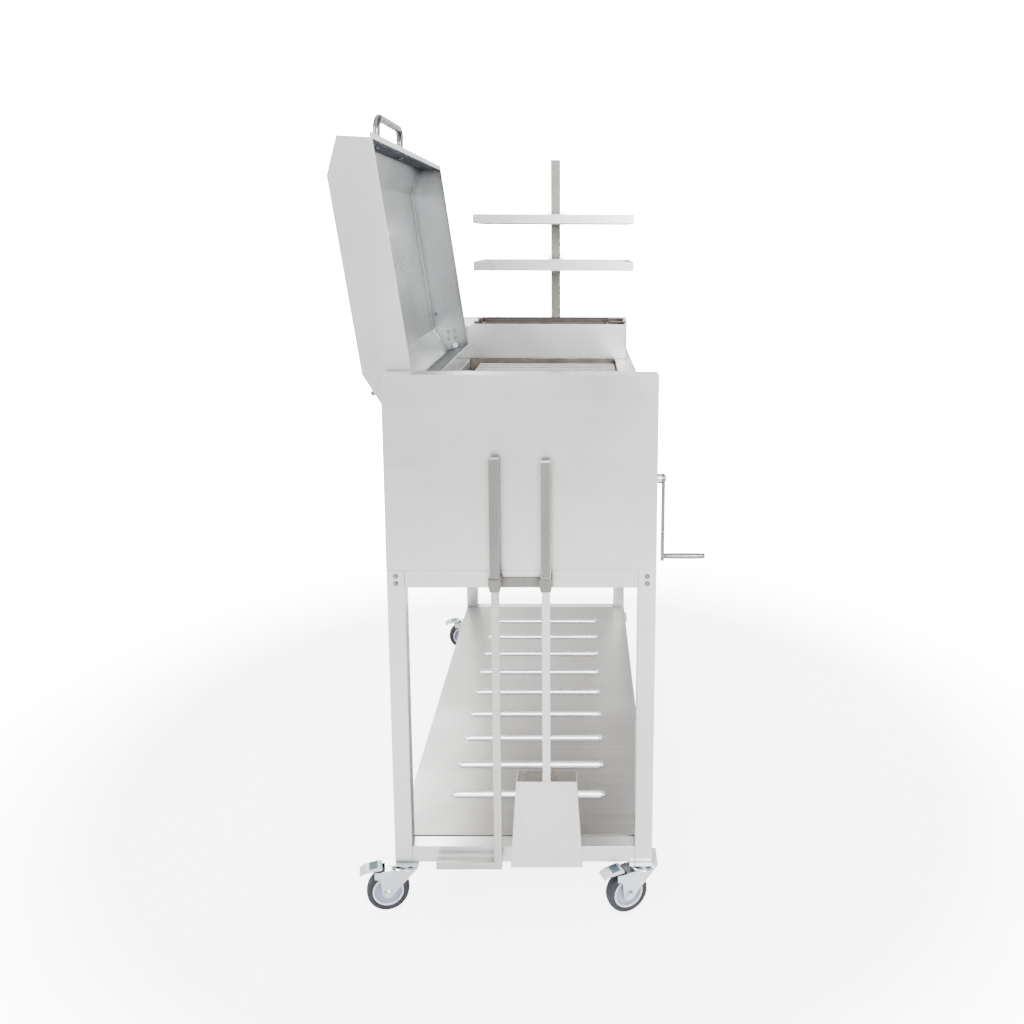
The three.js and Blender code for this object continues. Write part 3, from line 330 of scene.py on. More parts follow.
TOOL_STEEL = Finish(
    "mill_finish_steel", "tool_steel", (0.74, 0.73, 0.70), (0.52, 0.51, 0.48), (0.26, 0.42),
    grain=Grain.ALONG_Z, marks=9.0)
SLEEVE_STEEL = Finish(
    "dull_sleeve_steel", "tool_steel", (0.32, 0.31, 0.285), (0.22, 0.212, 0.195), (0.34, 0.5),
    grain=Grain.ALONG_Z, marks=9.0)
SLATE = Finish(
    "slate_strip", "tool_steel", (0.085, 0.105, 0.135), (0.055, 0.07, 0.09), (0.45, 0.6),
    metallic=0.2, crease_shade=0.2)
FIRE_STEEL = Finish(
    "heat_tinted_steel", "fire_steel", (0.36, 0.31, 0.26), (0.14, 0.12, 0.11), (0.4, 0.65),
    grain=Grain.NONE, bump=0.1, marks=12.0)
ZINC = Finish(
    "bright_zinc", "zinc", (0.90, 0.94, 0.96), (0.74, 0.80, 0.83), (0.16, 0.34), grain=Grain.NONE, marks=30.0)
BRICK = Finish(
    "fired_clay", "firebrick", (0.62, 0.47, 0.33), (0.34, 0.25, 0.18), (0.8, 0.95),
    metallic=0.0, grain=Grain.NONE, bump=0.8, marks=15.0)
RUBBER = Finish(
    "dark_tread", "tyre", (0.030, 0.036, 0.048), (0.012, 0.014, 0.02), (0.42, 0.62),
    metallic=0.0, grain=Grain.NONE, bump=0.12, marks=30.0)
RING_GREY = Finish(
    "pale_ring", "wheel_hub", (0.86, 0.87, 0.90), (0.74, 0.75, 0.80), (0.3, 0.42),
    metallic=0.0, grain=Grain.NONE)
HUB_LILAC = Finish(
    "lilac_hub", "wheel_hub", (0.52, 0.54, 0.70), (0.38, 0.40, 0.56), (0.34, 0.5),
    metallic=0.0, grain=Grain.NONE, bump=0.05)
PEDAL_PALE = Finish(
    "pale_pedal", "brake_pedal", (0.78, 0.86, 0.88), (0.62, 0.72, 0.75), (0.26, 0.4),
    metallic=0.0, grain=Grain.NONE, coat=0.3)
PAD_TEAL = Finish(
    "teal_pad", "brake_pedal", (0.13, 0.22, 0.24), (0.07, 0.13, 0.15), (0.45, 0.6),
    metallic=0.0, grain=Grain.NONE, bump=0.1)


# ---- Mesh building ----


@dataclass(frozen=True)
class Bend:
    """A bend in a swept ring.

    Attributes:
        centre: A point on the bend's axis.
        axis: The way the axis runs.
        angle: How far it turns, in radians.
        steps: How many steps the turn takes.
    """

    centre: Vector
    axis: Vector
    angle: float
    steps: int = 12


def edges_of(verts: Iterable[bmesh.types.BMVert]) -> list[bmesh.types.BMEdge]:
    """Gives the edges that touch some vertices, each of them once."""
    return list(dict.fromkeys(edge for vert in verts for edge in vert.link_edges))


def round_off(bm: bmesh.types.BMesh, edges: list[bmesh.types.BMEdge], radius: float, segments: int) -> None:
    """Rounds some edges.

    Args:
        bm: The mesh that they are in.
        edges: The edges.
        radius: How far the rounding reaches.
        segments: How many flats it has.
    """
    bmesh.ops.bevel(
        bm, geom=edges, offset=radius, offset_type="OFFSET", segments=segments, profile=0.5,
        affect="EDGES", material=-1, clamp_overlap=True)


@dataclass
class Piece:
    """A piece under construction: a bmesh in metres that ends as one named object.

    Attributes:
        name: The piece's name.
        body: The CAD body it rides on.
        finish: Its finish.
        bm: The mesh.
    """

    name: str
    body: str
    finish: Finish
    bm: bmesh.types.BMesh = field(default_factory=bmesh.new)

    def block(self, low: Vector, high: Vector, edge: float, matrix: Matrix | None = None) -> None:
        """Adds a block between two corners, with rounded edges.

        Args:
            low: The lowest corner.
            high: The highest corner.
            edge: The radius of its edges.
            matrix: Where it goes after that, or None to leave it there.
        """
        low, high = Vector(low), Vector(high)
        place = Matrix.Translation((high + low) / 2) @ Matrix.Diagonal((*(high - low), 1.0))
        if matrix:
            place = matrix @ place
        made = bmesh.ops.create_cube(self.bm, size=1.0, matrix=place)["verts"]
        round_off(self.bm, edges_of(made), edge, 2)

    def rod(
            self, start: Vector, end: Vector, radius: float, sides: int, tip: float | None = None,
            edge: float = 0.0) -> None:
        """Adds a round or many-sided bar between two points.

        Args:
            start: The first end's centre.
            end: The second end's centre.
            radius: The radius at the first end.
            sides: How many sides it has.
            tip: The radius at the second end, when it differs.
            edge: The rounding of both end edges, or 0.
        """
        start, end = Vector(start), Vector(end)
        along = end - start
        turn = UP.rotation_difference(along).to_matrix().to_4x4()
        made = bmesh.ops.create_cone(
            self.bm, cap_ends=True, cap_tris=False, segments=sides, radius1=radius,
            radius2=radius if tip is None else tip, depth=along.length,
            matrix=Matrix.Translation((start + end) / 2) @ turn)["verts"]
        if edge:
            faces = dict.fromkeys(face for vert in made for face in vert.link_faces)
            rims = dict.fromkeys(rim for face in faces if len(face.verts) == sides for rim in face.edges)
            round_off(self.bm, list(rims), edge, 3)

    def turned(self, outline: list[tuple[float, float]], matrix: Matrix, steps: int) -> None:
        """Adds a turned shape from a closed outline, spun about its own Y axis.

        Args:
            outline: Its points, each a radius and a place along the axis, in metres.
            matrix: Where the turned shape goes.
            steps: How many steps the spin takes.
        """
        verts = [self.bm.verts.new(matrix @ Vector((radius, along, 0))) for radius, along in outline]
        edges = [self.bm.edges.new(pair) for pair in zip(verts, verts[1:] + verts[:1])]
        axis = (matrix.to_3x3() @ Vector((0, 1, 0))).normalized()
        bmesh.ops.spin(
            self.bm, geom=verts + edges, cent=matrix.translation, axis=axis, dvec=(0, 0, 0),
            angle=2 * math.pi, steps=steps, use_merge=True, use_normal_flip=False, use_duplicate=False)

    def ring(self, radius: float, sides: int, matrix: Matrix) -> list[bmesh.types.BMEdge]:
        """Adds a ring of edges to sweep, and gives its edges."""
        return edges_of(bmesh.ops.create_circle(
            self.bm, cap_ends=False, segments=sides, radius=radius, matrix=matrix)["verts"])

    def sweep(
            self, ring: list[bmesh.types.BMEdge], legs: Iterable[Vector | Bend]) -> list[bmesh.types.BMEdge]:
        """Carries a ring along straight runs and bends in order.

        Args:
            ring: The ring's edges.
            legs: Straight runs as vectors, and bends.

        Returns:
            The edges of the ring at the far end.
        """
        for leg in legs:
            if isinstance(leg, Bend):
                verts = list(dict.fromkeys(vert for edge in ring for vert in edge.verts))
                grown = bmesh.ops.spin(
                    self.bm, geom=verts + ring, cent=leg.centre, axis=leg.axis, dvec=(0, 0, 0),
                    angle=leg.angle, steps=leg.steps, use_merge=False, use_normal_flip=False,
                    use_duplicate=False)["geom_last"]
                ring = [item for item in grown if isinstance(item, bmesh.types.BMEdge)]
            else:
                grown = bmesh.ops.extrude_edge_only(self.bm, edges=ring)["geom"]
                moved = [item for item in grown if isinstance(item, bmesh.types.BMVert)]
                bmesh.ops.translate(self.bm, verts=moved, vec=leg)
                ring = [item for item in grown if isinstance(item, bmesh.types.BMEdge)
                        and all(vert in moved for vert in item.verts)]
        return ring

    def bolt(self, seat: Vector, out: Vector, radius: float, height: float, hexagon: bool = False) -> None:
        """Adds a bolt head with a washer on a surface.

        Args:
            seat: The middle of the head on the surface.
            out: The way the head stands out.
            radius: The head's radius.
            height: How far it stands out.
            hexagon: True for a hexagon head, False for a domed one.
        """
        seat, out = Vector(seat), Vector(out).normalized()
        washer = height * WASHER_HEIGHT
        base, crown = seat + out * washer, seat + out * height
        self.rod(seat, base, radius * WASHER_REACH, BOLT_SIDES, edge=washer * 0.3)
        if hexagon:
            self.rod(base, crown, radius, HEXAGON_SIDES, edge=height * 0.08)
        else:
            self.rod(base, crown, radius, BOLT_SIDES, tip=radius * DOME_CROWN, edge=height * 0.15)

    def move(self, matrix: Matrix) -> None:
        """Moves everything built so far by a matrix."""
        bmesh.ops.transform(self.bm, matrix=matrix, verts=self.bm.verts)

    def done(self, *replaced: str) -> bpy.types.Object:
        """Cleans the mesh, makes the object with its finish, declares its body and hides the CAD nodes that it
        replaces.

        Args:
            *replaced: The CAD nodes that this piece stands for.

        Returns:
            The finished object.
        """
        bmesh.ops.remove_doubles(self.bm, verts=self.bm.verts, dist=MERGE_DISTANCE)
        bmesh.ops.recalc_face_normals(self.bm, faces=self.bm.faces)
        mesh = bpy.data.meshes.new(self.name)
        self.bm.to_mesh(mesh)
        self.bm.free()
        mesh.polygons.foreach_set("use_smooth", [True] * len(mesh.polygons))
        mesh.set_sharp_from_angle(angle=SMOOTH_ANGLE)
        made = bpy.data.objects.new(self.name, mesh)
        bpy.context.scene.collection.objects.link(made)
        mesh.materials.append(self.finish.material())
        even = made.modifiers.new("even_shading", "WEIGHTED_NORMAL")
        even.keep_sharp = True
        even.weight = FACE_AREA_WEIGHT
        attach(made, self.body)
        if replaced:
            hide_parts(*replaced)
        log.info("%s: %d faces", self.name, len(mesh.polygons))
        return made


def rounded_from_cad(node: str, finish: Finish, radius: float, segments: int = 2) -> bpy.types.Object:
    """Makes a piece from a CAD node's own shape, with its folds and cut edges rounded.

    Args:
        node: The CAD node.
        finish: The finish.
        radius: The rounding, in metres.
        segments: How many flats the rounding has.

    Returns:
        The finished piece, which stands for the node.
    """
    piece = Piece(f"{node}_formed", frame["nodes"][node]["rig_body"], finish)
    bm = piece.bm
    bm.from_mesh(frame["nodes"][node].data)
    bmesh.ops.remove_doubles(bm, verts=bm.verts, dist=MERGE_DISTANCE)
    bmesh.ops.dissolve_limit(
        bm, angle_limit=FLAT_ANGLE, verts=bm.verts, edges=bm.edges, use_dissolve_boundaries=False,
        delimit={"NORMAL"})
    folds = [edge for edge in bm.edges if edge.is_manifold and edge.calc_face_angle(0.0) > FOLD_ANGLE]
    round_off(bm, folds, radius, segments)
    return piece.done(node)


def line_inside(made: bpy.types.Object, centre: Vector, finish: Finish) -> None:
    """Gives the faces that look towards a point inside a hollow piece a finish of their own.

    Args:
        made: The hollow piece.
        centre: The point inside it.
        finish: The finish of its inner faces.
    """
    made.data.materials.append(finish.material())
    for face in made.data.polygons:
        if face.normal.dot(face.center - centre) < 0:
            face.material_index = 1


def dress(node: str, finish: Finish) -> None:
    """Gives a CAD node that stays in view its finish.

    Args:
        node: The CAD node.
        finish: The finish.
    """
    made = frame["nodes"][node]
    made.data.materials.clear()
    made.data.materials.append(finish.material())


# ---- The cart's sub-assemblies ----


@dataclass
class Chassis:
    """The square-tube frame and its slotted shelf.

    Attributes:
        edge: Outer corner radius of the tube.
        shelf_edge: Rounding of the shelf's folds.
        bolt_radius: Radius of the bolts at each leg top.
        bolt_height: How far they stand out.
        bolt_drop: Distance from the leg's top to the middle between its two bolts.
        bolt_gap: Distance between the two bolts of a leg.
        weld: Radius of the weld beads.
        rim_radius: Radius of the raised bead round each shelf slot.
        slot_pitch: Distance between shelf slots.
        slot_first: First slot, from the left end.
        slot_count: How many slots there are.
        slot_half: Half the length of a slot's straight part.
        slot_end: Radius of a slot's round ends.
    """

    edge: float = 2.4 * MM
    shelf_edge: float = 0.5 * MM
    bolt_radius: float = 4.6 * MM
    bolt_height: float = 3.6 * MM
    bolt_drop: float = 22 * MM
    bolt_gap: float = 17 * MM
    weld: float = 1.6 * MM
    rim_radius: float = 3.2 * MM
    slot_pitch: float = 139 * MM
    slot_first: float = 209 * MM
    slot_count: int = 9
    slot_half: float = 180 * MM
    slot_end: float = 12.2 * MM

    def build(self) -> None:
        """Builds the tubes, their bolts and welds, and the shelf."""
        for end in ENDS:
            for side in SIDES:
                rounded_from_cad(f"leg_{end}_{side}", STEEL_Z, self.edge, 3)
        for level in ("top", "bottom"):
            for side in SIDES:
                rounded_from_cad(f"{level}_rail_{side}", STEEL_X, self.edge, 3)
            for end in ENDS:
                rounded_from_cad(f"{level}_rail_{end}", STEEL_Y, self.edge, 3)
        self._bolts()
        self._welds()
        rounded_from_cad("lower_shelf", SHELF_STEEL, self.shelf_edge)
        self._slot_rims()

    def _bolts(self) -> None:
        """Adds two bolts near the top of each leg, on the cart's end faces."""
        piece = Piece("leg_bolts", "cart", BOLT_STEEL)
        for end, out in (("left", -1), ("right", 1)):
            for side in SIDES:
                low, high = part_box(f"leg_{end}_{side}")
                face = low.x if out < 0 else high.x
                for step in (-0.5, 0.5):
                    seat = (face, (low.y + high.y) / 2, high.z - self.bolt_drop + step * self.bolt_gap)
                    piece.bolt(seat, (out, 0, 0), self.bolt_radius, self.bolt_height)
        piece.done()

    def _welds(self) -> None:
        """Adds a bead of weld up each leg's inner corner, as tall as the end rails there."""
        piece = Piece("frame_welds", "cart", WELD)
        for end in ENDS:
            for side in SIDES:
                low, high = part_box(f"leg_{end}_{side}")
                inner_y = high.y if side == "front" else low.y
                inner_x = high.x if end == "left" else low.x
                for rail in ("bottom_rail_left", "top_rail_left"):
                    bottom, top = (corner.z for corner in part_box(rail))
                    piece.rod(
                        (inner_x, inner_y, bottom + self.weld), (inner_x, inner_y, top - self.weld),
                        self.weld, WELD_SIDES)
        piece.done()

    def _slot_rims(self) -> None:
        """Adds the raised bead round every slot of the shelf."""
        piece = Piece("shelf_slot_rims", "cart", STEEL_Y)
        low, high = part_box("lower_shelf")
        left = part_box("left_end_panel")[0].x
        middle = (low.y + high.y) / 2
        side = Vector((self.slot_end, 0, 0))
        upright = Matrix.Rotation(math.pi / 2, 4, "X")
        for index in range(self.slot_count):
            x = left + self.slot_first + index * self.slot_pitch
            near = Vector((x, middle - self.slot_half, high.z))
            far = Vector((x, middle + self.slot_half, high.z))
            ring = piece.ring(self.rim_radius, 10, Matrix.Translation(near + side) @ upright)
            piece.sweep(ring, [far - near, Bend(far, UP, math.pi), near - far, Bend(near, UP, math.pi)])
        piece.done()


@dataclass
class Cabinet:
    """The hollow-walled cabinet, its pan, bricks and fire box.

    Attributes:
        fold: Radius of the end walls' folds.
        sheet_edge: Rounding of the other sheets' folds.
        weld: Radius of the weld seams.
        screw_count: How many screws hold the front wall.
        screw_inset: Distance from the wall's ends to the outer screws.
        screw_rise: Height of the screws over the wall's lower edge.
    """

    fold: float = 1.6 * MM
    sheet_edge: float = 0.7 * MM
    weld: float = 1.3 * MM
    screw_count: int = 6
    screw_inset: float = 40 * MM
    screw_rise: float = 18 * MM

    def build(self) -> None:
        """Builds the walls, the fire box and what lies inside."""
        for end in ENDS:
            rounded_from_cad(f"{end}_end_panel", STEEL_Y, self.fold, 3)
        for node in ("front_panel", "rear_panel", "hinge_cheek", "hood_stop_angle"):
            rounded_from_cad(node, STEEL_X, self.sheet_edge)
        collar = rounded_from_cad("firebox_collar", STEEL_Y, self.sheet_edge)
        low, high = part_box("firebox_collar")
        line_inside(collar, (low + high) / 2, COLLAR_INSIDE)
        rounded_from_cad("ash_pan", FIRE_STEEL, 0.6 * MM)
        rounded_from_cad("firebrick_bed", BRICK, 1.0 * MM)
        rounded_from_cad("fire_divider", FIRE_STEEL, 0.8 * MM)
        rounded_from_cad("ember_basket", FIRE_STEEL, 0.9 * MM)
        self._seams()
        self._wall_screws()

    def _seams(self) -> None:
        """Adds the ground weld seams on the fire box corners."""
        piece = Piece("firebox_welds", "cart", WELD)
        low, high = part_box("firebox_collar")
        inset = self.weld * 0.4
        for x in (low.x + inset, high.x - inset):
            for y in (low.y + inset, high.y - inset):
                piece.rod((x, y, low.z + self.weld), (x, y, high.z - self.weld), self.weld, WELD_SIDES)
        piece.done()

    def _wall_screws(self) -> None:
        """Adds the screws that hold the front wall to its rail."""
        piece = Piece("front_wall_screws", "cart", BOLT_STEEL)
        low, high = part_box("front_panel")
        span = high.x - low.x - 2 * self.screw_inset
        for index in range(self.screw_count):
            x = low.x + self.screw_inset + index * span / (self.screw_count - 1)
            piece.bolt((x, low.y, low.z + self.screw_rise), (0, -1, 0), 4 * MM, 2.6 * MM)
        piece.done()


@dataclass
class Hood:
    """The tilting hood, its handle and hinge pins, laid out closed and then swung open.

    Attributes:
        open_angle: How far the hood stands open.
        rim: Height of the closed rim.
        rim_half: Half the hood's depth at the rim.
        shoulder: Height of the shoulder fold when closed.
        shoulder_half: Half its depth at the shoulder fold.
        top: Height of the top when closed.
        top_half: Half its depth at the top fold.
        tube: Radius of the handle's tube.
        bend: Radius of its bends, at the tube's middle.
        standoff: Distance from the hood to the middle of the grip.
        lift: The gap between the hood and the handle's feet.
        start: The handle's first foot, from the cart's left end.
        span: Distance between its feet.
        inner: Distance from the outside of the sheet to its seams.
        weld: Radius of the weld seams.
        sheet: Thickness of the ends.
        end_bolts: The closed places of the end bolts in millimetres: depth and height.
        pivot: A point on the hinge's axis.
        middle: The cart's middle line.
        swing: The turn that opens the hood.
    """

    open_angle: float = math.radians(98.05)
    rim: float = 1172 * MM
    rim_half: float = 284 * MM
    shoulder: float = 1245 * MM
    shoulder_half: float = 298 * MM
    top: float = 1280 * MM
    top_half: float = 218 * MM
    tube: float = 9.4 * MM
    bend: float = 32 * MM
    standoff: float = 67.6 * MM
    lift: float = 0.4 * MM
    start: float = 297 * MM
    span: float = 300 * MM
    inner: float = 2.2 * MM
    weld: float = 1.5 * MM
    sheet: float = 1.7 * MM
    end_bolts: tuple[tuple[int, int], ...] = (
        (232, 1210), (256, 1210), (232, 1232), (256, 1232), (170, 1262), (262, 1262))
    pivot: Vector = field(init=False)
    middle: float = field(init=False)
    swing: Matrix = field(init=False)

    def build(self) -> None:
        """Builds the shell, the handle, its bolts and the hinge."""
        hinge = next(joint for joint in frame["joints"] if joint["name"] == "hood_hinge")
        self.pivot = Vector(hinge["pos_m"])
        self.middle = sum(corner.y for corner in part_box("left_end_panel")) / 2
        self.swing = (
            Matrix.Translation(self.pivot) @ Matrix.Rotation(-self.open_angle, 4, "X")
            @ Matrix.Translation(-self.pivot))
        shell = rounded_from_cad("hood_shell", HOOD_STEEL, 0.8 * MM)
        low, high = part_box("hood_shell")
        core = Vector(((low.x + high.x) / 2, self.middle, (self.rim + self.top) / 2))
        line_inside(shell, self.swing @ core, HOOD_INSIDE)
        rounded_from_cad("handle_backing_strip", SLATE, 0.4 * MM)
        for end in ENDS:
            rounded_from_cad(f"hood_pin_{end}", ZINC, 0.5 * MM)
        self._handle()
        self._seams()
        self._end_bolts()

    def _outward(self) -> Vector:
        """Gives the way the closed hood's front face looks."""
        slope = math.atan2(self.shoulder_half - self.rim_half, self.shoulder - self.rim)
        return Vector((0, -math.cos(slope), -math.sin(slope)))

    def _on_front(self, x: float, out: float) -> Vector:
        """Gives a point over the middle line of the closed hood's sloping front face.

        Args:
            x: The place along the cart, from its left end.
            out: The distance out from the face.

        Returns:
            The point, in metres.
        """
        face_y = self.middle - (self.rim_half + self.shoulder_half) / 2
        face_z = (self.rim + self.shoulder) / 2
        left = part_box("left_end_panel")[0].x
        return Vector((left + x, face_y, face_z)) + self._outward() * out

    def _handle(self) -> None:
        """Builds the handle, its collars and the bolt heads inside the hood."""
        out = self._outward()
        along = Vector((1, 0, 0))
        axis = out.cross(along)
        foot = self._on_front(self.start, self.lift)
        rise = out * (self.standoff - self.bend - self.lift)
        first = foot + rise + along * self.bend
        second = foot + rise + along * (self.span - self.bend)
        piece = Piece("hood_handle_tube", "hood", CRANK_STEEL)
        turn = UP.rotation_difference(out).to_matrix().to_4x4()
        near_end = piece.ring(self.tube, 28, Matrix.Translation(foot) @ turn)
        far_end = piece.sweep(near_end, [
            rise, Bend(first, axis, math.pi / 2), along * (self.span - 2 * self.bend),
            Bend(second, axis, math.pi / 2), -rise])
        for end in (near_end, far_end):
            bmesh.ops.edgeloop_fill(piece.bm, edges=end)
        piece.move(self.swing)
        piece.done("hood_handle")
        collars = Piece("handle_collars", "hood", BOLT_STEEL)
        bolts = Piece("handle_bolts", "hood", BOLT_STEEL)
        for x in (self.start, self.start + self.span):
            seat = self._on_front(x, self.lift)
            collars.rod(seat, seat + out * 3 * MM, self.tube * 1.4, 32, edge=0.8 * MM)
            bolts.bolt(self._on_front(x, -3.6 * MM), -out, 8 * MM, 5 * MM)
        for part in (collars, bolts):
            part.move(self.swing)
            part.done()

    def _seams(self) -> None:
        """Adds the weld seams along the inside folds at both ends of the hood."""
        piece = Piece("hood_welds", "hood", WELD)
        low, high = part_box("hood_shell")
        inner = self.inner
        rising = [
            (self.rim_half - inner, self.rim + 16 * MM), (self.shoulder_half - inner, self.shoulder),
            (self.top_half - inner * 0.4, self.top - inner),
        ]
        points = [(self.middle - half, z) for half, z in rising]
        points += [(self.middle + half, z) for half, z in reversed(rising)]
        for x in (low.x + inner, high.x - inner):
            for start, end in zip(points, points[1:]):
                piece.rod((x, *start), (x, *end), self.weld, WELD_SIDES)
        piece.move(self.swing)
        piece.done()

    def _end_bolts(self) -> None:
        """Adds the bolts on the inside of the hood's ends, beside the hinge."""
        low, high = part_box("hood_shell")
        piece = Piece("hood_end_bolts", "hood", BOLT_STEEL)
        for x, out in ((low.x + self.sheet, 1), (high.x - self.sheet, -1)):
            for y, z in self.end_bolts:
                piece.bolt((x, self.middle + y * MM, z * MM), (out, 0, 0), 5 * MM, 3.6 * MM)
        piece.move(self.swing)
        piece.done()


@dataclass
class Cooking:
    """The grate and the crank that lifts it.

    Attributes:
        crank_edge: Rounding of the crank.
        boss: Radius of the bearing's boss.
        bore: Radius of its bore.
        rim: The bevel of the boss and the flange.
        flange_thick: Thickness of the flange on the wall.
        wall_gap: The gap between the flange and the wall.
        grip_bore: Radius of the grip's bore.
        grip_swell: How much wider the grip is in its middle.
        grip_lead: Distance from the grip's ends to where the swell starts.
        grip_steps: How many points the swell has.
    """

    crank_edge: float = 0.7 * MM
    boss: float = 12 * MM
    bore: float = 6.1 * MM
    rim: float = 0.8 * MM
    flange_thick: float = 4 * MM
    wall_gap: float = 0.3 * MM
    grip_bore: float = 4.2 * MM
    grip_swell: float = 1.2 * MM
    grip_lead: float = 1 * MM
    grip_steps: int = 14

    def build(self) -> None:
        """Builds the grate, its frame and the crank."""
        dress("grill_grate", STEEL_Y)
        rounded_from_cad("grate_frame", STEEL_X, 0.6 * MM)
        rounded_from_cad("crank", CRANK_STEEL, self.crank_edge)
        self._bearing()
        self._grip()

    def _bearing(self) -> None:
        """Builds the crank's flanged bearing and its four screws."""
        low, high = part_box("crank_bearing")
        centre = Vector(((low.x + high.x) / 2, 0, (low.z + high.z) / 2))
        flange = (high.x - low.x) / 2
        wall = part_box("front_panel")[0].y - self.wall_gap
        face = wall - self.flange_thick
        bearing = Piece("crank_bearing_turned", "cart", STEEL_Z)
        bearing.turned([
            (self.bore, low.y), (self.boss - self.rim, low.y), (self.boss, low.y + self.rim),
            (self.boss, face), (flange - self.rim, face), (flange, face + self.rim), (flange, wall),
            (self.boss, wall), (self.boss, high.y), (self.bore, high.y),
        ], Matrix.Translation(centre), 56)
        bearing.done("crank_bearing")
        screws = Piece("bearing_screws", "cart", BOLT_STEEL)
        reach = (self.boss + flange) / 2
        for quarter in range(4):
            angle = math.pi / 4 + quarter * math.pi / 2
            seat = (centre.x + reach * math.cos(angle), face, centre.z + reach * math.sin(angle))
            screws.bolt(seat, (0, -1, 0), 2.6 * MM, 2.2 * MM)
        screws.done()

    def _grip(self) -> None:
        """Builds the turning grip, a little wider in its middle."""
        low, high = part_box("crank_grip")
        centre = Vector(((low.x + high.x) / 2, 0, (low.z + high.z) / 2))
        radius = (high.x - low.x) / 2
        length = high.y - low.y - 2 * self.grip_lead
        outline = [(self.grip_bore, low.y), (radius - self.grip_swell, low.y)]
        for index in range(self.grip_steps + 1):
            share = index / self.grip_steps
            narrow = self.grip_swell * (2 * share - 1) ** 4 * 0.8
            outline.append((radius - narrow, low.y + self.grip_lead + share * length))
        outline += [(radius - self.grip_swell, high.y), (self.grip_bore, high.y)]
        grip = Piece("crank_grip_turned", "crank_grip", CRANK_STEEL)
        grip.turned(outline, Matrix.Translation(centre), 40)
        grip.done("crank_grip")


@dataclass
class Racks:
    """The post, the two racks that slide on it and the straps that hold it.

    Attributes:
        screw_rise: Height of the clamp screws over a rack's lower edge.
        screw_reach: Distance from the post's middle to the clamp screws.
        strap_thick: Thickness of the straps.
        strap_tall: Height of the straps.
        strap_reach: How far a strap reaches beside the post.
        strap_rises: Height of each pair of straps over the post's foot.
        gap: The gap between a strap and what it lies on.
    """

    screw_rise: float = 15 * MM
    screw_reach: float = 26 * MM
    strap_thick: float = 3 * MM
    strap_tall: float = 36 * MM
    strap_reach: float = 24 * MM
    strap_rises: tuple[float, float] = (30 * MM, 330 * MM)
    gap: float = 0.4 * MM

    def build(self) -> None:
        """Builds the post, both racks and the straps."""
        rounded_from_cad("rack_post", SLEEVE_STEEL, 2.0 * MM, 3)
        for level in ("upper", "lower"):
            rounded_from_cad(f"{level}_rack", STEEL_Y, 0.7 * MM)
            self._clamp(level)
        self._straps()

    def _clamp(self, level: str) -> None:
        """Adds the clamp screws on both sides of a rack's collar.

        Args:
            level: Which rack, upper or lower.
        """
        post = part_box("rack_post")
        centre = (post[0] + post[1]) / 2
        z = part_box(f"{level}_rack")[0].z + self.screw_rise
        piece = Piece(f"{level}_rack_clamp_screws", f"{level}_rack", BOLT_STEEL)
        for side in (-1, 1):
            seat = (centre.x, centre.y + side * self.screw_reach, z)
            piece.bolt(seat, (0, side, 0), 5.5 * MM, 5 * MM, hexagon=True)
        piece.done()

    def _straps(self) -> None:
        """Adds the straps that hold the post to the right end wall."""
        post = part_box("rack_post")
        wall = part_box("right_end_panel")[1].x
        straps = Piece("post_straps", "cart", STEEL_Y)
        bolts = Piece("post_strap_bolts", "cart", BOLT_STEEL)
        face = wall + self.strap_thick
        for z in (post[0].z + rise for rise in self.strap_rises):
            for side, edge in ((-1, post[0].y), (1, post[1].y)):
                near, far = sorted((edge + side * self.gap, edge + side * self.strap_reach))
                straps.block((wall + self.gap, near, z), (face, far, z + self.strap_tall), 0.6 * MM)
                seat = (face, (near + far) / 2, z + self.strap_tall / 2)
                bolts.bolt(seat, (1, 0, 0), 4.5 * MM, 4 * MM, hexagon=True)
        straps.done()
        bolts.done()


@dataclass
class AshTools:
    """The rake and shovel on the left end, and what holds them.

    Attributes:
        rake_y: The rake's place, from the cart's middle line.
        shovel_y: The shovel's place, from the cart's middle line.
        sleeve_x: Where a sleeve starts and ends, from the cart's left end.
        sleeve_half: Half a sleeve's width.
    """

    rake_y: float = 57 * MM
    shovel_y: float = -55 * MM
    sleeve_x: tuple[float, float] = (-33.2 * MM, -16.8 * MM)
    sleeve_half: float = 11.2 * MM

    def build(self) -> None:
        """Builds both tools, their holder and their sleeves."""
        rounded_from_cad("ash_rake", TOOL_STEEL, 1.0 * MM, 3)
        rounded_from_cad("ash_shovel", STEEL_Z, 0.6 * MM)
        rounded_from_cad("tool_holder", SLEEVE_STEEL, 0.7 * MM)
        self._sleeve("ash_rake", self.rake_y)
        self._sleeve("ash_shovel", self.shovel_y)

    def _sleeve(self, tool: str, place: float) -> None:
        """Adds the darker sleeve at the top of a tool's handle.

        Args:
            tool: The tool's node and body.
            place: Its place, from the cart's middle line.
        """
        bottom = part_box("tool_holder")[1].z + 1 * MM
        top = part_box(tool)[1].z - 0.4 * MM
        low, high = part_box("left_end_panel")
        y = (low.y + high.y) / 2 + place
        start, end = (low.x + x for x in self.sleeve_x)
        piece = Piece(f"{tool}_sleeve", tool, SLEEVE_STEEL)
        piece.block((start, y - self.sleeve_half, bottom), (end, y + self.sleeve_half, top), 1.6 * MM)
        piece.done()


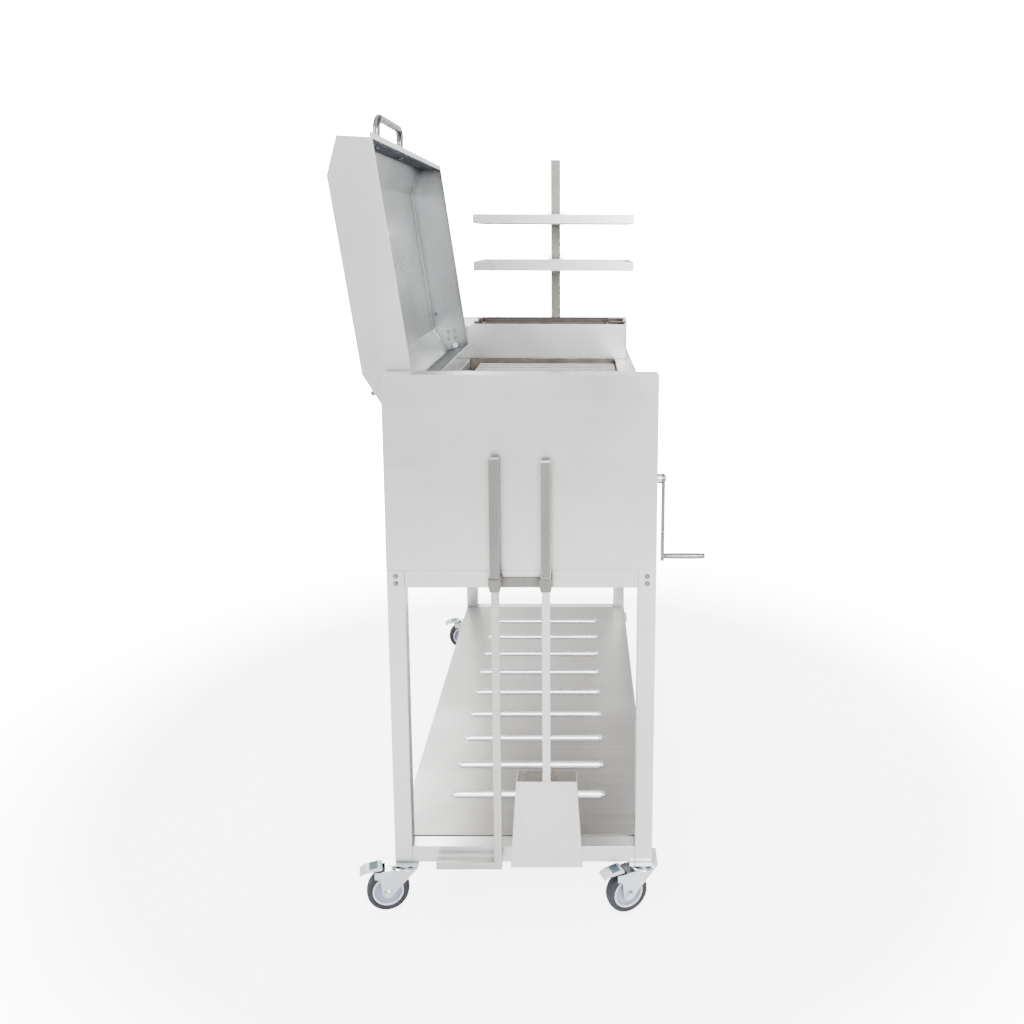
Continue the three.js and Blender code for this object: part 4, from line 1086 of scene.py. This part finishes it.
@dataclass
class Caster:
    """One braked swivel caster. Turned outlines are in metres: radius, then place along the axle.

    Attributes:
        corner: Which corner of the cart it is on.
        radius: Radius of the tread.
        width: Width of the tread.
        seat: Radius of the rim that carries the tyre.
        crown: How much smaller the tread's shoulders are.
        shoulder: Radius of the tread's shoulders.
        hub_half: Half the width of the ring and the hub.
        web: Half the thickness of the hub's web.
        fork_half: Half the width over the fork.
        cap_z: Height of the dust cap's lower and upper edge.
        cap_bore: Radius of the hole in the dust cap.
        cap_lip: Radius of its lip.
        trail: How far the axle trails behind the swivel.
        pad_rise: Height of the pedal's pad.
        pad_tilt: How far the pad tilts.
        ribs: How many ribs it has.
        rib_pitch: Distance between them.
        hub: The wheel's place, with the axle along its Y axis.
        base: The swivel's place on the floor, turned as the wheel is.
    """

    corner: str
    radius: float = 50 * MM
    width: float = 30 * MM
    seat: float = 36.4 * MM
    crown: float = 1.2 * MM
    shoulder: float = 6 * MM
    hub_half: float = 13 * MM
    web: float = 7 * MM
    fork_half: float = 19.5 * MM
    cap_z: tuple[float, float] = (106.5 * MM, 112 * MM)
    cap_bore: float = 28.3 * MM
    cap_lip: float = 31 * MM
    trail: float = 42 * MM
    pad_rise: float = 114.4 * MM
    pad_tilt: float = math.radians(6)
    ribs: int = 5
    rib_pitch: float = 3.6 * MM
    hub: Matrix = field(init=False)
    base: Matrix = field(init=False)

    def build(self) -> None:
        """Builds the wheel, fork, plate, bolts and pedal."""
        joints = {joint["name"]: joint for joint in frame["joints"]}
        swivel = joints[f"caster_{self.corner}_swivel"]
        roll = joints[f"caster_{self.corner}_roll"]
        across = Vector(roll["axis"]).normalized()
        spin = Matrix((across.cross(UP), across, UP)).transposed().to_4x4()
        pivot = Vector(swivel["pos_m"])
        self.hub = Matrix.Translation(Vector(roll["pos_m"])) @ spin
        self.base = Matrix.Translation(Vector((pivot.x, pivot.y, 0))) @ spin
        self._tyre()
        self._ring_and_hub()
        self._fork()
        self._plate()
        self._pedal()

    def _piece(self, name: str, body: str, finish: Finish) -> Piece:
        """Starts a piece of this caster on one of its moving bodies."""
        return Piece(f"caster_{self.corner}_{name}", f"{body}_{self.corner}", finish)

    def _tyre(self) -> None:
        """Builds the tyre with a crowned tread and rounded shoulders."""
        half = self.width / 2
        bead = self.seat + 2.6 * MM
        inner = self.radius - self.crown - self.shoulder
        steps = 6
        outline = [(self.seat, -half + 3 * MM), (bead, -half)]
        for side in (-1, 1):
            for index in range(steps + 1):
                angle = (index if side < 0 else steps - index) / steps * math.pi / 2
                outline.append((
                    inner + self.shoulder * math.sin(angle),
                    side * (half - self.shoulder + self.shoulder * math.cos(angle))))
            if side < 0:
                outline += [(self.radius, -3 * MM), (self.radius, 3 * MM)]
        outline += [(bead, half), (self.seat, half - 3 * MM)]
        piece = self._piece("tread", "wheel", RUBBER)
        piece.turned(outline, self.hub, 72)
        piece.done(f"caster_{self.corner}_tyre")

    def _ring_and_hub(self) -> None:
        """Builds the pale ring and the dished hub."""
        half = self.hub_half
        outer = self.seat - 0.3 * MM
        side = [
            (outer, -half), (outer - 1 * MM, -half - 1 * MM), (outer - 4 * MM, -half - 1 * MM),
            (outer - 5 * MM, -half),
        ]
        ring = self._piece("ring", "wheel", RING_GREY)
        ring.turned(self._both_sides(side), self.hub, 72)
        ring.done()
        dish = outer - 5.2 * MM
        side = [
            (5.2 * MM, -half - 1 * MM), (12 * MM, -half - 1 * MM), (14 * MM, -half + 1 * MM),
            (17 * MM, -self.web), (dish - 3 * MM, -self.web), (dish, -self.web - 2 * MM),
        ]
        hub = self._piece("hub", "wheel", HUB_LILAC)
        hub.turned(self._both_sides(side), self.hub, 56)
        hub.done(f"caster_{self.corner}_rim")

    @staticmethod
    def _both_sides(side: list[tuple[float, float]]) -> list[tuple[float, float]]:
        """Gives the outline of a turned shape from that of its one side, mirrored to the other."""
        return side + [(radius, -along) for radius, along in reversed(side)]

    def _fork(self) -> None:
        """Builds the fork with its axle nuts and swivel dust cap."""
        rounded_from_cad(f"caster_{self.corner}_fork", ZINC, 0.8 * MM)
        nuts = self._piece("axle_nuts", "swivel", ZINC)
        across = self.hub.to_3x3() @ Vector((0, 1, 0))
        for side in (-1, 1):
            seat = self.hub.translation + across * side * self.fork_half
            nuts.bolt(seat, across * side, 8 * MM, 6 * MM, hexagon=True)
        nuts.done()
        bottom, top = self.cap_z
        lip = self.cap_lip
        cap = self._piece("dust_cap", "swivel", ZINC)
        cap.turned([
            (self.cap_bore, bottom), (lip, bottom), (lip + 1 * MM, bottom + 2 * MM),
            (lip - 1 * MM, top - 1 * MM), (self.cap_bore, top),
        ], self.base @ Matrix.Rotation(math.pi / 2, 4, "X"), 56)
        cap.done()

    def _plate(self) -> None:
        """Builds the top plate with four corner bolts."""
        node = f"caster_{self.corner}_plate"
        rounded_from_cad(node, ZINC, 0.7 * MM)
        low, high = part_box(node)
        piece = Piece(f"{node}_bolts", "cart", ZINC)
        inset = 8 * MM
        under = high.z - 2.6 * MM
        for x in (low.x + inset, high.x - inset):
            for y in (low.y + inset, high.y - inset):
                piece.bolt((x, y, under), (0, 0, -1), 4.6 * MM, 4 * MM, hexagon=True)
        piece.done()

    def _pedal(self) -> None:
        """Builds the brake pedal with its ribbed pad."""
        rounded_from_cad(f"caster_{self.corner}_pedal", PEDAL_PALE, 1.6 * MM, 3)
        pad = self._piece("pedal_pad", "pedal", PAD_TEAL)
        tilt = (
            self.base @ Matrix.Translation((self.trail + 22 * MM, 0, self.pad_rise))
            @ Matrix.Rotation(self.pad_tilt, 4, "Y"))
        pad.block((0, -14 * MM, -0.4 * MM), (20 * MM, 14 * MM, 0.5 * MM), 0.3 * MM, tilt)
        for index in range(self.ribs):
            x = 2 * MM + index * self.rib_pitch
            pad.block((x, -13 * MM, 0.3 * MM), (x + 1.6 * MM, 13 * MM, 1.3 * MM), 0.3 * MM, tilt)
        pad.done()


# ---- The studio ----


@dataclass(frozen=True)
class SoftBox:
    """One square lamp that looks at the cart's middle.

    Attributes:
        name: The lamp's name.
        place: Where it stands.
        size: Its width.
        power: Its power in watts.
    """

    name: str
    place: tuple[float, float, float]
    size: float
    power: float

    def build(self, target: Vector) -> None:
        """Makes the lamp and turns it to a point.

        Args:
            target: The point.
        """
        lamp = bpy.data.lights.new(self.name, "AREA")
        lamp.energy = self.power
        lamp.shape = "SQUARE"
        lamp.size = self.size
        stand = bpy.data.objects.new(self.name, lamp)
        stand.location = self.place
        stand.rotation_mode = "QUATERNION"
        stand.rotation_quaternion = (target - Vector(self.place)).to_track_quat("-Z", "Y")
        bpy.context.scene.collection.objects.link(stand)


SOFT_BOXES = (
    SoftBox("key_box", (-3.8, -1.2, 2.2), 1.2, 150.0),
    SoftBox("fill_box", (-2.0, 3.2, 2.4), 1.4, 110.0),
    SoftBox("side_box", (0.6, -3.4, 2.2), 2.0, 150.0),
    SoftBox("rear_box", (3.4, 1.6, 2.8), 2.0, 140.0),
)
DARK_WALL = (0.10, 0.10, 0.105, 1.0)
FAR_WALL = (0.34, 0.35, 0.36, 1.0)
WALL_LEVELS = ((0.30, 0.26), (0.47, 1.0), (0.60, 1.0), (0.76, 0.5))


@dataclass
class Studio:
    """The floor, the light and the camera.

    Attributes:
        eye: Camera place from the foot of the cart's left end, on its middle line.
        yaw: Camera heading from +X, in degrees.
        pitch: How far it looks down, in degrees.
        roll: Its roll, in degrees.
        lens: Focal length in millimetres.
        sensor: Sensor width in millimetres.
        shift: Sensor shift, sideways and up.
        target: What the lamps look at.
        room: Brightness of the room that lights the cart.
        backdrop: Brightness of the plain white behind everything.
        floor_size: Half the floor's width.
        floor_glow: Extra brightness of the floor round the cart.
        floor_near: Where the floor starts to fade into the backdrop.
        floor_far: Where it has become the backdrop.
    """

    eye: tuple[float, float, float] = (-2.04645, -0.12769, 1.5729)
    yaw: float = -0.33
    pitch: float = 9.22
    roll: float = 0.18
    lens: float = 33.82
    sensor: float = 36.0
    shift: tuple[float, float] = (-0.0711, -0.1178)
    target: tuple[float, float, float] = (0, 0, 0.8)
    room: float = 2.2
    backdrop: float = 40.0
    floor_size: float = 14.0
    floor_glow: float = 5.0
    floor_near: float = 1.2
    floor_far: float = 3.6

    def build(self) -> None:
        """Makes the floor, the world, the lamps and the camera."""
        self._floor()
        self._world()
        for box in SOFT_BOXES:
            box.build(Vector(self.target))
        self._camera()

    def _floor(self) -> None:
        """Makes a plain pale floor that fades into the backdrop."""
        bm = bmesh.new()
        bmesh.ops.create_grid(bm, x_segments=1, y_segments=1, size=self.floor_size)
        mesh = bpy.data.meshes.new("floor")
        bm.to_mesh(mesh)
        bm.free()
        floor = bpy.data.objects.new("floor", mesh)
        bpy.context.scene.collection.objects.link(floor)
        paint = bpy.data.materials.new("pale_floor")
        paint.use_nodes = True
        tree = paint.node_tree
        shader = tree.nodes["Principled BSDF"]
        shader.inputs["Base Color"].default_value = (0.92, 0.92, 0.92, 1.0)
        shader.inputs["Roughness"].default_value = 0.9
        place = add_node(tree, "TexCoord")
        away = add_node(tree, "VectorMath", operation="LENGTH")
        fade = add_node(tree, "MapRange", {
            "From Min": self.floor_near, "From Max": self.floor_far,
            "To Min": self.floor_glow, "To Max": self.backdrop})
        path = add_node(tree, "LightPath")
        shown = add_node(tree, "Math", operation="MULTIPLY")
        glow = add_node(tree, "Emission")
        both = add_node(tree, "AddShader")
        wire(
            tree,
            (place.outputs["Object"], away.inputs[0]), (away.outputs["Value"], fade.inputs["Value"]),
            (fade.outputs["Result"], shown.inputs[0]), (path.outputs["Is Camera Ray"], shown.inputs[1]),
            (shown.outputs[0], glow.inputs["Strength"]), (shader.outputs["BSDF"], both.inputs[0]),
            (glow.outputs["Emission"], both.inputs[1]),
            (both.outputs[0], tree.nodes["Material Output"].inputs["Surface"]))
        mesh.materials.append(paint)

    def _world(self) -> None:
        """Makes a soft room with darker far walls, and the white that the camera sees behind it."""
        world = bpy.data.worlds.new("studio")
        bpy.context.scene.world = world
        world.use_nodes = True
        tree = world.node_tree
        place = add_node(tree, "TexCoord")
        split = add_node(tree, "SeparateXYZ")
        cloud = add_node(tree, "TexNoise", {"Scale": 1.6, "Detail": 0.0})
        sway = add_node(tree, "Math", operation="ADD")
        across = add_node(tree, "MapRange", {"From Min": -0.5, "From Max": 1.5})
        walls = add_node(tree, "ValToRGB")
        stops = walls.color_ramp.elements
        stops[0].color = DARK_WALL
        stops[1].color = FAR_WALL
        for position, level in WALL_LEVELS:
            stops.new(position).color = (level, level, level * 1.01, 1.0)
        room = tree.nodes["Background"]
        room.inputs["Strength"].default_value = self.room
        white = add_node(tree, "Background", {"Strength": self.backdrop})
        path = add_node(tree, "LightPath")
        pick = add_node(tree, "MixShader")
        wire(
            tree,
            (place.outputs["Generated"], split.inputs[0]), (place.outputs["Generated"], cloud.inputs["Vector"]),
            (split.outputs["Y"], sway.inputs[0]), (cloud.outputs["Fac"], sway.inputs[1]),
            (sway.outputs[0], across.inputs["Value"]), (across.outputs["Result"], walls.inputs["Fac"]),
            (walls.outputs["Color"], room.inputs["Color"]), (path.outputs["Is Camera Ray"], pick.inputs["Fac"]),
            (room.outputs["Background"], pick.inputs[1]), (white.outputs["Background"], pick.inputs[2]),
            (pick.outputs[0], tree.nodes["World Output"].inputs["Surface"]))

    def _camera(self) -> None:
        """Makes the camera at the cart's left end."""
        low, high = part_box("left_end_panel")
        foot = Vector((low.x, (low.y + high.y) / 2, 0))
        yaw, pitch, roll = (math.radians(value) for value in (self.yaw, self.pitch, self.roll))
        ahead = Vector((math.cos(yaw) * math.cos(pitch), math.sin(yaw) * math.cos(pitch), -math.sin(pitch)))
        right = Vector((math.sin(yaw), -math.cos(yaw), 0))
        up = right.cross(ahead)
        side = right * math.cos(roll) + up * math.sin(roll)
        top = up * math.cos(roll) - right * math.sin(roll)
        data = bpy.data.cameras.new("view_camera")
        data.lens = self.lens
        data.sensor_width = self.sensor
        data.shift_x, data.shift_y = self.shift
        data.clip_end = 60.0
        camera = bpy.data.objects.new("view_camera", data)
        turn = Matrix((side, top, -ahead)).transposed().to_4x4()
        camera.matrix_world = Matrix.Translation(foot + Vector(self.eye)) @ turn
        bpy.context.scene.collection.objects.link(camera)
        bpy.context.scene.camera = camera


def main() -> None:
    """Builds the studio and every sub-assembly in order."""
    Studio().build()
    for part in (Chassis(), Cabinet(), Hood(), Cooking(), Racks(), AshTools()):
        part.build()
        log.info("built %s", type(part).__name__)
    for corner in CORNERS:
        Caster(corner).build()
        log.info("built Caster %s", corner)


if __name__ == "__main__":
    main()
